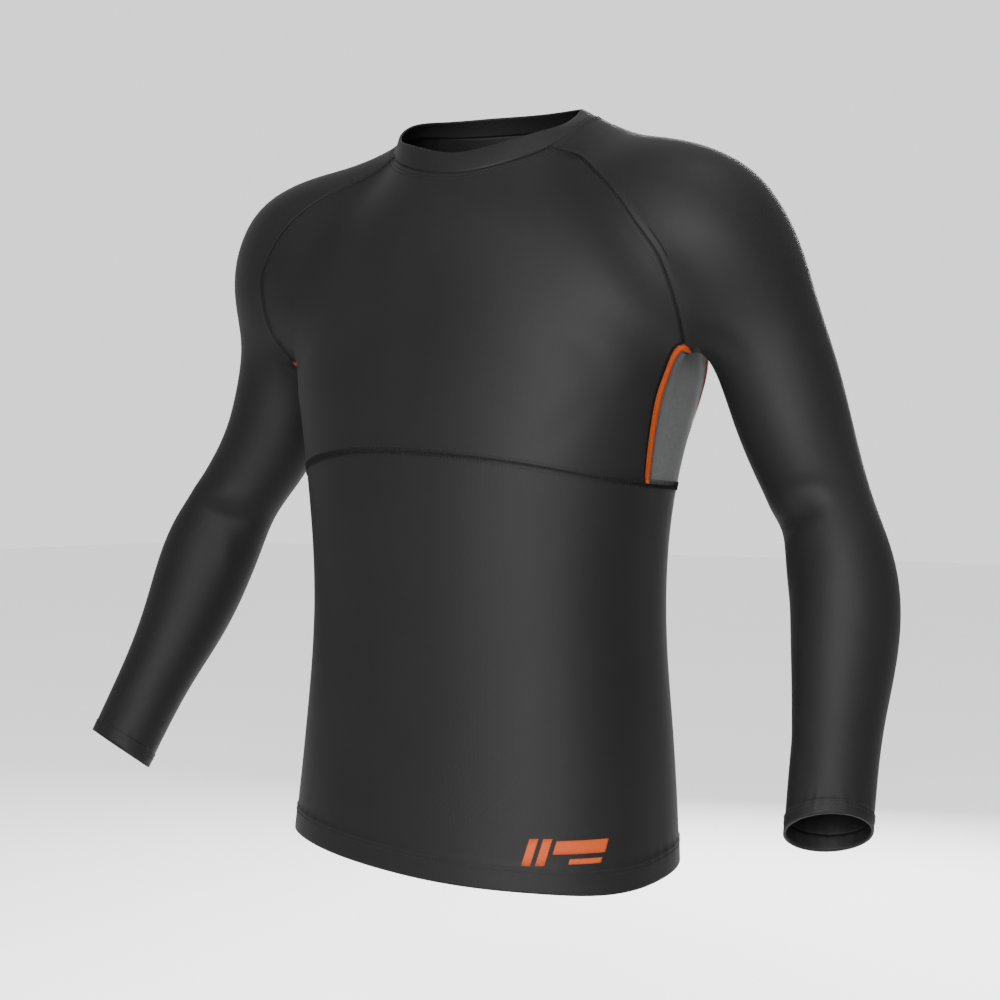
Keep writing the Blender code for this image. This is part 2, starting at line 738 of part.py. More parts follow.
def build():
    left = Side(1)
    right = Side(-1)
    front_foot = angle_of(left.outer[0])
    back_foot = angle_of(left.outer[-1])
    every_edge = ("bottom", "top", "left", "right")

    # Chest and upper back
    neck_angles = crowded(-RAGLAN_FRONT_ANGLE, RAGLAN_FRONT_ANGLE, STEPS_CHEST)
    front_angles = crowded(-front_foot, front_foot, STEPS_CHEST)
    chest = relaxed(patch(
        seam_ring(front_angles), neck_ring(neck_angles), mirrored(right.front), left.front))
    cloth("chest_front", chest, BLACK_KNIT, every_edge)

    neck_back_angles = crowded(RAGLAN_BACK_ANGLE, 360 - RAGLAN_BACK_ANGLE, STEPS_CHEST)
    back_angles = crowded(back_foot, 360 - back_foot, STEPS_CHEST)
    back = relaxed(patch(
        seam_ring(back_angles), neck_ring(neck_back_angles), left.back, mirrored(right.back)))
    cloth("upper_back", back, BLACK_KNIT, every_edge)

    # Body below the chest seam, one tube with a turned hem
    inner_front = angle_of(left.inner[0])
    inner_back = angle_of(left.inner[-1])
    panel_angles = np.linspace(inner_front, inner_back, STEPS_PANEL_WIDE + 1)
    ring_angles = np.concatenate([
        front_angles, panel_angles, back_angles, 360 - panel_angles[::-1]])
    top_heights = table_at(LEVELS, ring_angles, 1)
    hem_heights = table_at(LEVELS, ring_angles, 2)
    fold = hem_heights + HEM_DEPTH + TURN_STEP
    shares = np.linspace(0, 1, STEPS_LOWER)
    levels = [top_heights + (fold - top_heights) * share for share in shares]
    levels += [hem_heights + HEM_DEPTH, hem_heights]
    lower = np.array([body_points(ring_angles, heights) for heights in levels])
    thick = np.full(lower.shape[:2], WALL)
    thick[-2:] = TURNED_WALL
    cloth("lower_body", lower, BLACK_KNIT, ("bottom",), ring=True, wall=thick)

    # Arched side panels with their piping, then the sleeves
    for name, side in (("left", left), ("right", right)):
        cloth("side_panel_" + name, side.turned(side.panel(panel_angles)), GREY_KNIT, every_edge)
        strip, proud = side.strip()
        strip = side.turned(strip)
        normal = outward(strip)
        body = drawn_in(strip, normal, every_edge)
        vertices, faces = walled(body + side.turned(proud), body - normal * WALL)
        placed("side_piping_" + name, vertices, faces, ORANGE_TAPE)
        sleeve = side.turned(side.sleeve())
        thick = np.full(sleeve.shape[:2], WALL)
        thick[-2:] = TURNED_WALL
        cloth("sleeve_" + name, sleeve, BLACK_KNIT, ("bottom",), ring=True, wall=thick)

    # Neck band: outer face, rounded top edge, inner face
    band_angles = np.concatenate([
        neck_angles[:-1],
        np.linspace(RAGLAN_FRONT_ANGLE, RAGLAN_BACK_ANGLE, STEPS_NECK_SIDE + 1)[:-1],
        neck_back_angles[:-1],
        np.linspace(360 - RAGLAN_BACK_ANGLE, 360 - RAGLAN_FRONT_ANGLE, STEPS_NECK_SIDE + 1)[:-1]])
    seam = neck_ring(band_angles)
    edge = neck_edge(band_angles)
    rise = edge - seam
    rise = rise / np.linalg.norm(rise, axis=1)[:, None]
    along = np.roll(seam, -1, 0) - np.roll(seam, 1, 0)
    face = np.cross(along, rise)
    face = face / np.linalg.norm(face, axis=1)[:, None]
    away = np.column_stack([seam[:, :2], np.zeros(len(seam))])
    face = face * np.sign((face * away).sum(1))[:, None]
    skin = outward(seam)
    foot = seam + edge_shift(seam, skin, edge, True)
    half = BAND_WALL / 2
    tops = edge - face * half
    middle = (foot + edge) / 2
    corner = half * math.sqrt(0.5)
    profile = np.array([
        foot,
        middle + face * BAND_BULGE,
        edge - rise * half,
        tops + (rise + face) * corner,
        tops + rise * half,
        tops + (rise - face) * corner,
        edge - rise * half - face * BAND_WALL,
        middle - face * (BAND_WALL - BAND_BULGE),
        foot - skin * BAND_WALL,
    ])
    count = len(band_angles)
    faces = grid_faces(len(profile), count, True)
    last = (len(profile) - 1) * count
    for c in range(count):
        d = (c + 1) % count
        faces.append((last + c, last + d, d, c))
    placed("neckband", profile.reshape(-1, 3), faces, BLACK_KNIT)


for thing in list(bpy.data.objects):
    bpy.data.objects.remove(thing, do_unlink=True)
build()
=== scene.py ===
import math

import bpy
import numpy as np
from bpy.props import FloatProperty, FloatVectorProperty, PointerProperty
from bpy.types import Operator, Panel, PropertyGroup
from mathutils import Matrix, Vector


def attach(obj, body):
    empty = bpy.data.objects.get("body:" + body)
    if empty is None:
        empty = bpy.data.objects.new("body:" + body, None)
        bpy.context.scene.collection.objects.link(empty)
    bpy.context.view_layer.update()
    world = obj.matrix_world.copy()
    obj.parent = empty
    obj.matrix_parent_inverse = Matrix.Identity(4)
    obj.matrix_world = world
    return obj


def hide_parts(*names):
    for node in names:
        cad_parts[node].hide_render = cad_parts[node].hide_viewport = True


bl_info = {
    "name": "Compression shirt",
    "version": (1, 0, 0),
    "blender": (4, 5, 0),
    "location": "View3D > Sidebar > Shirt",
    "description": "Dresses the packed shirt in knit panels, seams and stitching",
    "category": "Object",
}

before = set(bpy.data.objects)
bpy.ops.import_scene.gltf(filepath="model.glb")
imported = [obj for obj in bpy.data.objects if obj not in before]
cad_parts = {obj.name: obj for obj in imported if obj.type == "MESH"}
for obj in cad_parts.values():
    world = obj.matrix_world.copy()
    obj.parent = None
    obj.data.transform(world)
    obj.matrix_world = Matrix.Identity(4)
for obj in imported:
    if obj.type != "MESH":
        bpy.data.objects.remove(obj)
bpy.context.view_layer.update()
BODY = "root"

# Cloth sizes
CLOTH = 0.0009
TURNED_STEP = 0.0005
BAND_WALL = 0.0022
SEAM_GAP = 0.00012
HEM_DEPTH = 0.020
CUFF_DEPTH = 0.013
TURN_STEP = 0.0012
PIPING_WIDTH = 0.006
PIPING_PROUD = 0.0009

# Neck opening from above: half width, half depth and middle, at the seam and at the top edge
NECK_SEAM = (0.0910, 0.0815, -0.001)
NECK_EDGE = (0.0800, 0.0720, 0.000)
RAGLAN_FRONT_ANGLE = 65.0
RAGLAN_BACK_ANGLE = 117.0

# Mesh steps, shared by both sides of every seam
STEPS_CHEST = 22
STEPS_RAGLAN = 12
STEPS_NECK_SIDE = 4
STEPS_ARCH_SIDE = 11
STEPS_ARCH_TOP = 6
STEPS_PANEL_WIDE = 8
STEPS_LOWER = 10
STEPS_SHOULDER = 9
STEPS_ARM = 15
RINGS_RELAXED = 11
CROWDING = 1.05
RELAX_ROUNDS = 50
SLEEVE_ROUNDS = 24
SMOOTH_ROUNDS = 3
ARMHOLE_ROW = 0.007

# How softly the forms run into each other
BLEND_SHOULDER = 0.020
BLEND_ARMPIT = 0.005
ARMPIT_HEIGHT = -0.185
ARMPIT_MIDDLE = 0.028
ARMPIT_REACH = 0.012
BLEND_RISE = 0.070
BLEND_SPREAD = 0.040
BLEND_CHAIN = 0.010
TORSO_POWER = 2.3

# How finely the forms are sampled, and how points are brought to the cloth
FORM_SAMPLES = 400
ARM_BALLS = 70
NECK_BALLS = 16
CHAIN_OVERLAP = 0.02
FAR = 9.0
TINY = 1e-9
SETTLE_LIMIT = 0.02
SLOPE_FLOOR = 0.05
HALVINGS = 18
BODY_START = 0.05
RING_STEP = 3.0

# Distances to lines: their own fineness, how far they are looked for, points at a time
LINE_STEP = 0.0012
LINE_REACH = 0.012
LINE_BATCH = 4000
LINE_ROUNDS = 4

# height, half width, depth to the front, depth to the back, middle y
TORSO = (
    (-0.660, 0.175, 0.134, 0.118, -0.012),
    (-0.600, 0.173, 0.131, 0.117, -0.008),
    (-0.540, 0.169, 0.126, 0.115, -0.005),
    (-0.480, 0.164, 0.122, 0.112, -0.003),
    (-0.420, 0.159, 0.121, 0.106, -0.001),
    (-0.360, 0.158, 0.121, 0.104, 0.000),
    (-0.300, 0.163, 0.121, 0.109, 0.000),
    (-0.240, 0.174, 0.122, 0.119, 0.003),
    (-0.190, 0.184, 0.123, 0.125, 0.008),
    (-0.140, 0.183, 0.117, 0.122, 0.010),
    (-0.090, 0.166, 0.108, 0.116, 0.012),
    (-0.050, 0.125, 0.096, 0.104, 0.012),
    (-0.020, 0.080, 0.076, 0.088, 0.012),
    (0.010, 0.052, 0.055, 0.072, 0.012),
    (0.040, 0.036, 0.042, 0.056, 0.012),
    (0.080, 0.020, 0.025, 0.036, 0.012),
)

# x, y, z, radius, half stretch along x, half stretch along y
ARM = (
    (0.050, 0.034, -0.012, 0.0340, 0.000, 0.000),
    (0.100, 0.020, -0.024, 0.0360, 0.000, 0.000),
    (0.148, 0.001, -0.056, 0.0500, 0.000, 0.000),
    (0.190, -0.002, -0.082, 0.0720, 0.000, 0.000),
    (0.221, 0.010, -0.106, 0.0600, 0.000, 0.000),
    (0.242, 0.025, -0.148, 0.0460, 0.000, 0.000),
    (0.254, 0.031, -0.182, 0.0450, 0.000, 0.000),
    (0.264, 0.032, -0.215, 0.0450, 0.000, 0.000),
    (0.276, 0.029, -0.246, 0.0420, 0.000, 0.000),
    (0.293, 0.019, -0.276, 0.0380, 0.002, -0.002),
    (0.309, 0.010, -0.303, 0.0355, 0.006, -0.006),
    (0.319, 0.006, -0.325, 0.0370, 0.009, -0.009),
    (0.327, 0.000, -0.350, 0.0400, 0.008, -0.007),
    (0.336, -0.018, -0.400, 0.0390, 0.003, -0.003),
    (0.344, -0.046, -0.450, 0.0320, 0.000, 0.000),
    (0.352, -0.074, -0.500, 0.0300, 0.002, 0.002),
    (0.359, -0.098, -0.545, 0.0290, 0.003, 0.002),
    (0.366, -0.122, -0.590, 0.0290, 0.003, 0.002),
)

NECK = (
    (0.000, 0.012, -0.090, 0.0560, 0.000, 0.000),
    (0.000, 0.008, 0.000, 0.0580, 0.000, 0.000),
    (0.000, 0.004, 0.060, 0.0580, 0.000, 0.000),
)

# x, y, z of the front raglan seam between its ends, and the same for the back one
RAGLAN_FRONT = (
    (0.1060, -0.0365, -0.0140),
    (0.1300, -0.0500, -0.0270),
    (0.1520, -0.0630, -0.0425),
    (0.1755, -0.0710, -0.0650),
    (0.1906, -0.0713, -0.0854),
    (0.1997, -0.0686, -0.0987),
    (0.2054, -0.0633, -0.1146),
    (0.2078, -0.0572, -0.1271),
    (0.2085, -0.0489, -0.1403),
    (0.2070, -0.0393, -0.1526),
)
RAGLAN_BACK = (
    (0.1060, 0.0575, 0.0040),
    (0.1280, 0.0610, -0.0180),
    (0.1480, 0.0665, -0.0430),
    (0.1680, 0.0730, -0.0700),
    (0.1830, 0.0750, -0.0940),
    (0.1910, 0.0725, -0.1180),
    (0.1925, 0.0655, -0.1370),
)

# x, y, z of the side panel's outer edge, from its front foot over the armpit to its back foot
ARCH = (
    (0.1655, -0.0210, -0.2790),
    (0.1703, -0.0244, -0.2503),
    (0.1750, -0.0263, -0.2283),
    (0.1789, -0.0268, -0.2118),
    (0.1834, -0.0253, -0.1970),
    (0.1888, -0.0237, -0.1837),
    (0.1955, -0.0250, -0.1705),
    (0.2038, -0.0290, -0.1610),
    (0.2105, -0.0250, -0.1625),
    (0.2095, -0.0150, -0.1725),
    (0.2030, -0.0030, -0.1755),
    (0.1970, 0.0090, -0.1740),
    (0.1935, 0.0220, -0.1705),
    (0.1920, 0.0350, -0.1665),
    (0.1915, 0.0470, -0.1590),
    (0.1890, 0.0560, -0.1500),
    (0.1800, 0.0610, -0.1560),
    (0.1730, 0.0655, -0.1750),
    (0.1670, 0.0700, -0.1950),
    (0.1590, 0.0735, -0.2120),
    (0.1515, 0.0750, -0.2280),
    (0.1455, 0.0740, -0.2500),
    (0.1380, 0.0720, -0.2810),
)
ARCH_FRONT_JOIN = 7
ARCH_BACK_JOIN = 15

# angle from the front round to the wearer's left, height of the chest seam, height of the hem
LEVELS = (
    (-180.0, -0.2820, -0.580),
    (-150.0, -0.2820, -0.578),
    (-120.0, -0.2815, -0.576),
    (-83.0, -0.2790, -0.574),
    (-68.0, -0.2700, -0.575),
    (-53.0, -0.2615, -0.576),
    (-30.0, -0.2535, -0.581),
    (0.0, -0.2535, -0.588),
    (30.0, -0.2585, -0.593),
    (50.0, -0.2660, -0.596),
    (66.0, -0.2740, -0.599),
    (83.0, -0.2790, -0.597),
    (105.0, -0.2815, -0.590),
    (120.0, -0.2820, -0.587),
    (150.0, -0.2820, -0.583),
    (180.0, -0.2820, -0.580),
)

# angle from the front round to the wearer's left, height of the neck seam, height of the neck edge
NECK_LEVELS = (
    (-180.0, 0.0295, 0.0447),
    (-150.0, 0.0290, 0.0445),
    (-120.0, 0.0245, 0.0405),
    (-90.0, 0.0155, 0.0335),
    (-65.0, 0.0057, 0.0200),
    (-45.0, -0.0030, 0.0095),
    (-25.0, -0.0122, 0.0020),
    (-5.0, -0.0205, -0.0058),
    (12.0, -0.0245, -0.0093),
    (30.0, -0.0220, -0.0058),
    (50.0, -0.0133, 0.0022),
    (70.0, -0.0040, 0.0105),
    (90.0, 0.0050, 0.0200),
    (108.0, 0.0165, 0.0320),
    (127.0, 0.0265, 0.0385),
    (150.0, 0.0295, 0.0425),
    (180.0, 0.0295, 0.0447),
)

# Middle of the cuff edge and the way the cuff opens
CUFF_MIDDLE = (0.3565, -0.0985, -0.5205)
CUFF_OPENS = (0.310, -0.510, -0.802)
SHOULDER_RING_HEIGHT = -0.205
CUFF_LEAD = 0.060
ARM_OUTWARD = (1.0, 0.0, 0.3)

# Turns round the arm to the neck side and to the underarm, and how the points between are spaced
NECK_SIDE_TURN = 0.066
UNDERARM_TURN = 0.33
RAGLAN_TURN_POWER = 1.6

# Distance down the arm after which points are even, and how far round the arm the shoulder bows out
EVEN_AFTER = 0.160
BOW_SHARE = 0.5

# How many times finer each piece is than the shared seam steps
FINER_ROWS = 5
FINER_COLUMNS = 5
FINER_LOWER = 8
FINER_SIDE = 6

# Soft folds: middle x, y, z, direction x, y, z, half length, half width, height; minus is a trough
FOLDS_BODY = (
    (0.120, -0.080, -0.150, 0.60, 0.00, -0.55, 0.070, 0.020, -0.0012),
    (0.150, -0.075, -0.175, 0.80, 0.10, -0.35, 0.045, 0.009, -0.0008),
    (0.160, -0.055, -0.200, 0.70, 0.20, 0.35, 0.040, 0.008, 0.0007),
    (0.135, -0.090, -0.235, 0.70, 0.30, 0.55, 0.060, 0.012, -0.0007),
    (-0.150, -0.075, -0.175, 0.80, -0.10, 0.35, 0.045, 0.009, -0.0008),
    (-0.160, -0.055, -0.205, 0.70, -0.20, -0.35, 0.040, 0.008, 0.0007),
    (0.000, -0.115, -0.130, 0.02, 0.00, -1.00, 0.060, 0.028, -0.0016),
    (0.000, -0.120, -0.430, 0.05, 0.00, -1.00, 0.090, 0.030, -0.0010),
    (0.120, 0.110, -0.160, 0.60, 0.00, -0.55, 0.060, 0.016, -0.0012),
    (0.145, 0.085, -0.205, 0.75, -0.20, 0.40, 0.045, 0.010, 0.0009),
    (-0.120, 0.110, -0.165, 0.60, 0.00, 0.55, 0.060, 0.016, -0.0012),
    (-0.145, 0.085, -0.210, 0.75, 0.20, -0.40, 0.045, 0.010, 0.0009),
    (0.000, 0.125, -0.200, 0.00, 0.00, -1.00, 0.110, 0.018, -0.0022),
    (0.010, 0.105, -0.400, 0.05, 0.00, -1.00, 0.090, 0.016, -0.0014),
    (0.085, 0.095, -0.420, 0.90, 0.10, -0.20, 0.060, 0.010, 0.0010),
    (-0.080, 0.096, -0.440, 0.90, -0.10, 0.25, 0.060, 0.010, 0.0010),
    (0.070, 0.098, -0.370, 0.90, 0.10, -0.30, 0.055, 0.009, -0.0009),
    (-0.065, 0.098, -0.395, 0.90, -0.10, 0.30, 0.055, 0.009, -0.0009),
    (0.150, -0.040, -0.385, 0.60, 0.60, -0.25, 0.045, 0.010, -0.0007),
    (-0.150, -0.040, -0.395, 0.60, -0.60, 0.25, 0.045, 0.010, -0.0007),
)
FOLDS_ARM = (
    (0.306, -0.023, -0.283, 0.93, 0.05, 0.15, 0.030, 0.009, 0.0026),
    (0.280, -0.015, -0.289, 0.80, -0.40, 0.30, 0.020, 0.010, 0.0016),
    (0.298, -0.026, -0.304, 0.85, -0.30, 0.40, 0.028, 0.008, -0.0038),
    (0.276, -0.012, -0.314, 0.60, -0.60, 0.10, 0.020, 0.010, -0.0034),
    (0.284, -0.022, -0.338, 0.15, 0.20, -0.95, 0.024, 0.012, 0.0022),
    (0.330, -0.045, -0.385, 0.10, -0.35, -0.93, 0.070, 0.016, 0.0012),
    (0.207, -0.060, -0.112, 0.45, 0.20, -0.85, 0.040, 0.013, -0.0032),
    (0.345, 0.035, -0.330, 0.30, 0.90, 0.10, 0.030, 0.010, 0.0014),
    (0.350, 0.030, -0.352, 0.30, 0.90, 0.00, 0.026, 0.008, -0.0010),
    (0.236, -0.022, -0.170, 0.70, -0.20, -0.60, 0.045, 0.010, -0.0014),
    (0.226, -0.028, -0.150, 0.80, -0.15, -0.45, 0.040, 0.009, 0.0009),
    (0.250, 0.055, -0.170, 0.60, 0.20, -0.65, 0.050, 0.012, -0.0012),
    (0.225, 0.065, -0.140, 0.75, 0.20, -0.50, 0.045, 0.010, 0.0010),
    (0.330, -0.085, -0.470, 0.50, -0.70, -0.30, 0.040, 0.010, -0.0007),
)

EVERY_EDGE = ("bottom", "top", "left", "right")

# Seams, turned edges and stitching
SEAM_HALF = 0.0034
SEAM_RISE = 0.0005
SEAM_CLEFT = 0.0002
SEAM_SOFT = 0.0008
CLEFT_HALF = 0.0006
HEM_STITCHES = (0.0008, 0.0044)
NECK_STITCHES = (0.0032, 0.0060)
CUFF_STITCH_ROWS = (-5.8, -4.3)
RAGLAN_SEW_HALF = 0.0021
PIPING_SEW_HALF = 0.0011
LADDER_PITCH = 0.0030
LADDER_THREAD = 0.6
ARCH_ROUNDS = 3
ARCH_REACH = 2
HEM_ROWS = 12
HEM_WAVE = 0.013
CUFF_WAVE = 0.011
PUCKER_RISE = 0.00022
PUCKER_REACH = 0.007

# Puckers: how far their pitch sways and how often, then even part, uneven part and how often
PUCKER_SWAY = (1.3, 5)
PUCKER_FADE = (0.7, 0.3, 9)

# How high stitches stand, in thread radii, and the piping's shape
STITCH_SUNK = 0.4
SEAM_STITCH_SUNK = 0.5
PIPING_STITCH_SUNK = 0.3
PIPING_LADDER_STEPS = 199
PIPING_ROUND = 4
PIPING_LINES = 7
STITCH_HALF_SHARE = 0.36
STITCH_SIDES = 6
STITCH_RINGS = 4
THREAD_SIDES = 5

# Number inputs of the stitch trees: name, value and lowest value
PITCH_INPUT = ("Pitch", 0.0026, 0.0005)
RADIUS_INPUT = ("Thread radius", 0.0003, 0.0001)

# Neck band: points round it, its height and bulge, its rows, and how far its top closes
BAND_STEPS = 240
BAND_HEIGHT = 0.016
BAND_BULGE = 0.0006
BAND_ROWS = (*np.linspace(0, 0.92, 10), 0.96, 0.985, 1.0)
BAND_CLOSED = 0.98

# How the right arm's folds differ from the left's
RIGHT_FOLD_SHARE = 0.8
RIGHT_FOLD_DROP = 0.004

# Looks: roughness and specular level, darkest and palest shade, bump distance and strength
KNIT_ROUGH = 0.56
KNIT_UNEVEN = 0.05
KNIT_SPECULAR = 0.045
KNIT_SHADES = (0.82, 1.2)
KNIT_BUMP = (0.00016, 0.35)
HEATHER_ROUGH = 0.85
HEATHER_SPECULAR = 0.12
HEATHER_SHADES = (0.45, 1.75)
HEATHER_BUMP = (0.0003, 0.5)
HEATHER_SHEEN = 0.02
HEATHER_PITCH_SHARE = 1.3
TAPE_ROUGH = 0.6
TAPE_SPECULAR = 0.04
TAPE_SHADES = (0.72, 1.15)
TAPE_BUMP = (0.00025, 0.6)
TAPE_PITCH = 0.0009
THREAD_ROUGH = 0.7
THREAD_SPECULAR = 0.10
THREAD_SHADES = (0.7, 1.25)
THREAD_BUMP = (0.0001, 0.3)
FLOOR_SHADES = (0.98, 1.0)

# Noises: scale and detail
KNIT_CLOUD = (14.0, 3.0)
KNIT_GRAIN = (900.0, 2.0)
YARN_GRAIN = (1400.0, 1.0)
YARN_STREAK = (320.0, 4.0)
TAPE_GRAIN = (700.0, 2.0)
THREAD_GRAIN = (1600.0, 1.0)
FLOOR_CLOUD = (3.0, 3.0)

# How much each of two parts counts where they are mixed
CLOUD_AND_GRAIN = (0.45, 0.55)
HEIGHT_AND_GRAIN = (1.0, 0.5)
YARN_AND_STREAK = (0.6, 0.4)
# Tone and painted shade: the knit's holes are darkened in colour to stand in for the shade inside
# them
TONE_AND_PAINTED_HOLE_SHADE = (1.0, -0.16)
HEIGHT_AND_HOLE = (1.0, -1.6)
HOLE_PITCH = 0.0021
HOLE_SIZE = 0.24
RAMP_STOPS = (0.25, 0.75)
COURSE_SHARE = 0.72
LEG_LEAN = 2.4
LEG_AND_VALLEY = (0.55, -0.45)

# Stage: camera turn, rise, sideways shift, height, distance and lens, then lights and floor
CAMERA_TURN = math.radians(35.0)
CAMERA_RISE = math.radians(0.9)
CAMERA_SIDE = 0.0085
CAMERA_HEIGHT = -0.294
CAMERA_DISTANCE = 1.62
CAMERA_LENS = 68.4
CAMERA_SENSOR = 36
CAMERA_CLIP = (0.05, 50)
FLOOR_Z = -0.95
FLOOR_HALF = 12.0
FLOOR_COLOUR = (0.9, 0.9, 0.9)
FLOOR_ROUGH = 0.9
WORLD_STRENGTH = 1.4

# Lights: name, across, up and out from the middle of the shirt, size and power
LIGHTS = (
    ("key", -0.25, 0.35, 1.60, 1.0, 210.0),
    ("back", 0.60, 0.60, -1.90, 1.2, 90.0),
    ("top", 0.50, 1.60, 0.50, 0.8, 40.0),
)

# Plain printed bars by the hem: angle, height, turn and rise of the whole print
PRINT_ANGLE = 44.0
PRINT_BASE = -0.5745
PRINT_TURN = 25.0
PRINT_TALL = 0.0205
PRINT_SLANT = 0.10
PRINT_LIFT = 0.00022
PRINT_THICK = 0.00014
PRINT_ROWS = 4
PRINT_COLUMNS = 40

# Bars of the print: from and to across, from and to upward, as shares of the whole
PRINT_BARS = (
    (0.00, 0.10, 0.00, 1.00),
    (0.15, 0.25, 0.00, 1.00),
    (0.30, 0.88, 0.42, 0.92),
    (0.50, 0.86, 0.04, 0.24),
)


def natural_spline(knots, values, at):
    """Natural cubic spline through values at knots, read at the given places."""
    knots = np.asarray(knots, float)
    values = np.asarray(values, float).reshape(len(knots), -1)
    count = len(knots)
    gaps = np.diff(knots)
    matrix = np.eye(count)
    right = np.zeros(values.shape)
    for i in range(1, count - 1):
        matrix[i, i - 1] = gaps[i - 1]
        matrix[i, i] = 2 * (gaps[i - 1] + gaps[i])
        matrix[i, i + 1] = gaps[i]
        slope_after = (values[i + 1] - values[i]) / gaps[i]
        slope_before = (values[i] - values[i - 1]) / gaps[i - 1]
        right[i] = 6 * (slope_after - slope_before)
    bend = np.linalg.solve(matrix, right)
    i = np.clip(np.searchsorted(knots, at, side="right") - 1, 0, count - 2)
    gap = gaps[i][:, None]
    after = (np.asarray(at) - knots[i])[:, None]
    before = gap - after
    cubic = (bend[i] * before ** 3 + bend[i + 1] * after ** 3) / (6 * gap)
    start = (values[i] / gap - bend[i] * gap / 6) * before
    end = (values[i + 1] / gap - bend[i + 1] * gap / 6) * after
    return cubic + start + end


def chord_knots(points):
    steps = np.linalg.norm(np.diff(points, axis=0), axis=1)
    return np.concatenate([[0.0], np.cumsum(steps)])


def shares_between(*lines):
    """How far along each point lies, in shares of 1, as the mean of two lines."""
    knots = [chord_knots(line) for line in lines]
    return sum(each / each[-1] for each in knots) / len(lines)


def unit(vectors):
    return vectors / np.linalg.norm(vectors, axis=-1, keepdims=True)


def run_of(line, closed):
    """The way a line runs at each of its points."""
    if closed:
        return np.roll(line, -1, 0) - np.roll(line, 1, 0)
    return np.gradient(line, axis=0)


def evened(line):
    """A line with its inner points moved halfway to the middle of their neighbours."""
    line = line.copy()
    line[1:-1] = line[1:-1] / 2 + (line[:-2] + line[2:]) / 4
    return line


def splined(rows, count):
    """Rows spaced evenly along the spline through the first three columns."""
    rows = np.asarray(rows, float)
    knots = chord_knots(rows[:, :3])
    return natural_spline(knots, rows, np.linspace(0, knots[-1], count))


def evenly(points, count):
    """Points respaced to count equal steps along their own line."""
    knots = chord_knots(points)
    return natural_spline(knots, points, np.linspace(0, knots[-1], count + 1))


class Chain:
    """A soft limb: balls of changing size strung along a spline."""

    def __init__(self, rows, count, side):
        line = splined(rows, count)
        stretch = np.column_stack([line[:, 4:6], np.zeros(count)])
        step = np.gradient(chord_knots(line[:, :3]))
        weight = np.log(step / np.sqrt(2 * math.pi * line[:, 3] * BLEND_CHAIN)) - math.log(2)
        self.middle = np.concatenate([line[:, :3] - stretch, line[:, :3] + stretch])
        self.radius = np.tile(line[:, 3], 2)
        self.weight = np.tile(weight, 2)
        self.side = side

    def field(self, points):
        value = np.full(len(points), FAR)
        slope = np.zeros((len(points), 3))
        near = np.ones(len(points), bool)
        if self.side:
            near = points[:, 0] * self.side > -CHAIN_OVERLAP
        use = points[near]
        away = use[:, None] - self.middle[None]
        distance = np.linalg.norm(away, axis=2) + TINY
        power = (self.radius - distance) / BLEND_CHAIN + self.weight
        top = power.max(1, keepdims=True)
        share = np.exp(power - top)
        total = share.sum(1)
        value[near] = -BLEND_CHAIN * (np.log(total) + top[:, 0])
        slope[near] = (away * (share / distance / total[:, None])[:, :, None]).sum(1)
        return value, slope


class Torso:
    """A soft upright tube whose oval section changes with height."""

    def __init__(self):
        rows = np.array(TORSO)
        self.height = np.linspace(rows[0, 0], rows[-1, 0], FORM_SAMPLES)
        self.sizes = natural_spline(rows[:, 0], rows[:, 1:], self.height)
        self.changes = np.gradient(self.sizes, self.height, axis=0)

    def field(self, points):
        x, y, z = points.T
        low, high = self.height[0], self.height[-1]
        level = np.clip(z, low, high)
        wide, front, back, middle = (np.interp(level, self.height, s) for s in self.sizes.T)
        inside = (z > low) & (z < high)
        d_wide, d_front, d_back, d_middle = (
            np.where(inside, np.interp(level, self.height, s), 0) for s in self.changes.T)
        y = y - middle
        deep = np.where(y < 0, front, back)
        d_deep = np.where(y < 0, d_front, d_back)
        n = TORSO_POWER
        part_x = np.abs(x / wide)
        part_y = np.abs(y / deep)
        total = part_x ** n + part_y ** n + 1e-12
        ratio = total ** (1 / n)
        scale = total ** (1 / n - 1)
        slope_x = scale * part_x ** (n - 1) * np.sign(x) / wide
        slope_y = scale * part_y ** (n - 1) * np.sign(y) / deep
        growing = part_x ** n * d_wide / wide + part_y ** n * d_deep / deep
        slope_z = -scale * growing - slope_y * d_middle
        slope = np.column_stack([slope_x, slope_y, slope_z])
        length = np.linalg.norm(slope, axis=1) + TINY
        value = (ratio - 1) / length
        slope = slope / length[:, None]
        above = z > high
        value = np.where(above, np.maximum(value, 0) + z - high, value)
        slope[above] = (0.0, 0.0, 1.0)
        return value, slope


def mirrored_rows(rows):
    return [(-r[0], r[1], r[2], r[3], -r[4], r[5]) for r in rows]


FORMS = (
    Torso(), Chain(ARM, ARM_BALLS, 1), Chain(mirrored_rows(ARM), ARM_BALLS, -1),
    Chain(NECK, NECK_BALLS, 0))


def smooth_step(value):
    value = np.clip(value, 0, 1)
    return value * value * (3 - 2 * value)


def figure(points):
    """Signed distance, near enough, from the outside of the cloth, and its slope."""
    fields = [form.field(points) for form in FORMS]
    values = np.array([f[0] for f in fields])
    rise = (points[:, 2] - ARMPIT_HEIGHT) / BLEND_RISE
    spread = (np.abs(points[:, 1] - ARMPIT_MIDDLE) - ARMPIT_REACH) / BLEND_SPREAD
    open_up = np.maximum(rise, spread)
    blend = BLEND_ARMPIT + (BLEND_SHOULDER - BLEND_ARMPIT) * smooth_step(open_up)
    power = -values / blend
    top = power.max(0)
    share = np.exp(power - top)
    total = share.sum(0)
    value = -blend * (np.log(total) + top)
    slope = sum((share[i] / total)[:, None] * fields[i][1] for i in range(len(fields)))
    return value, slope


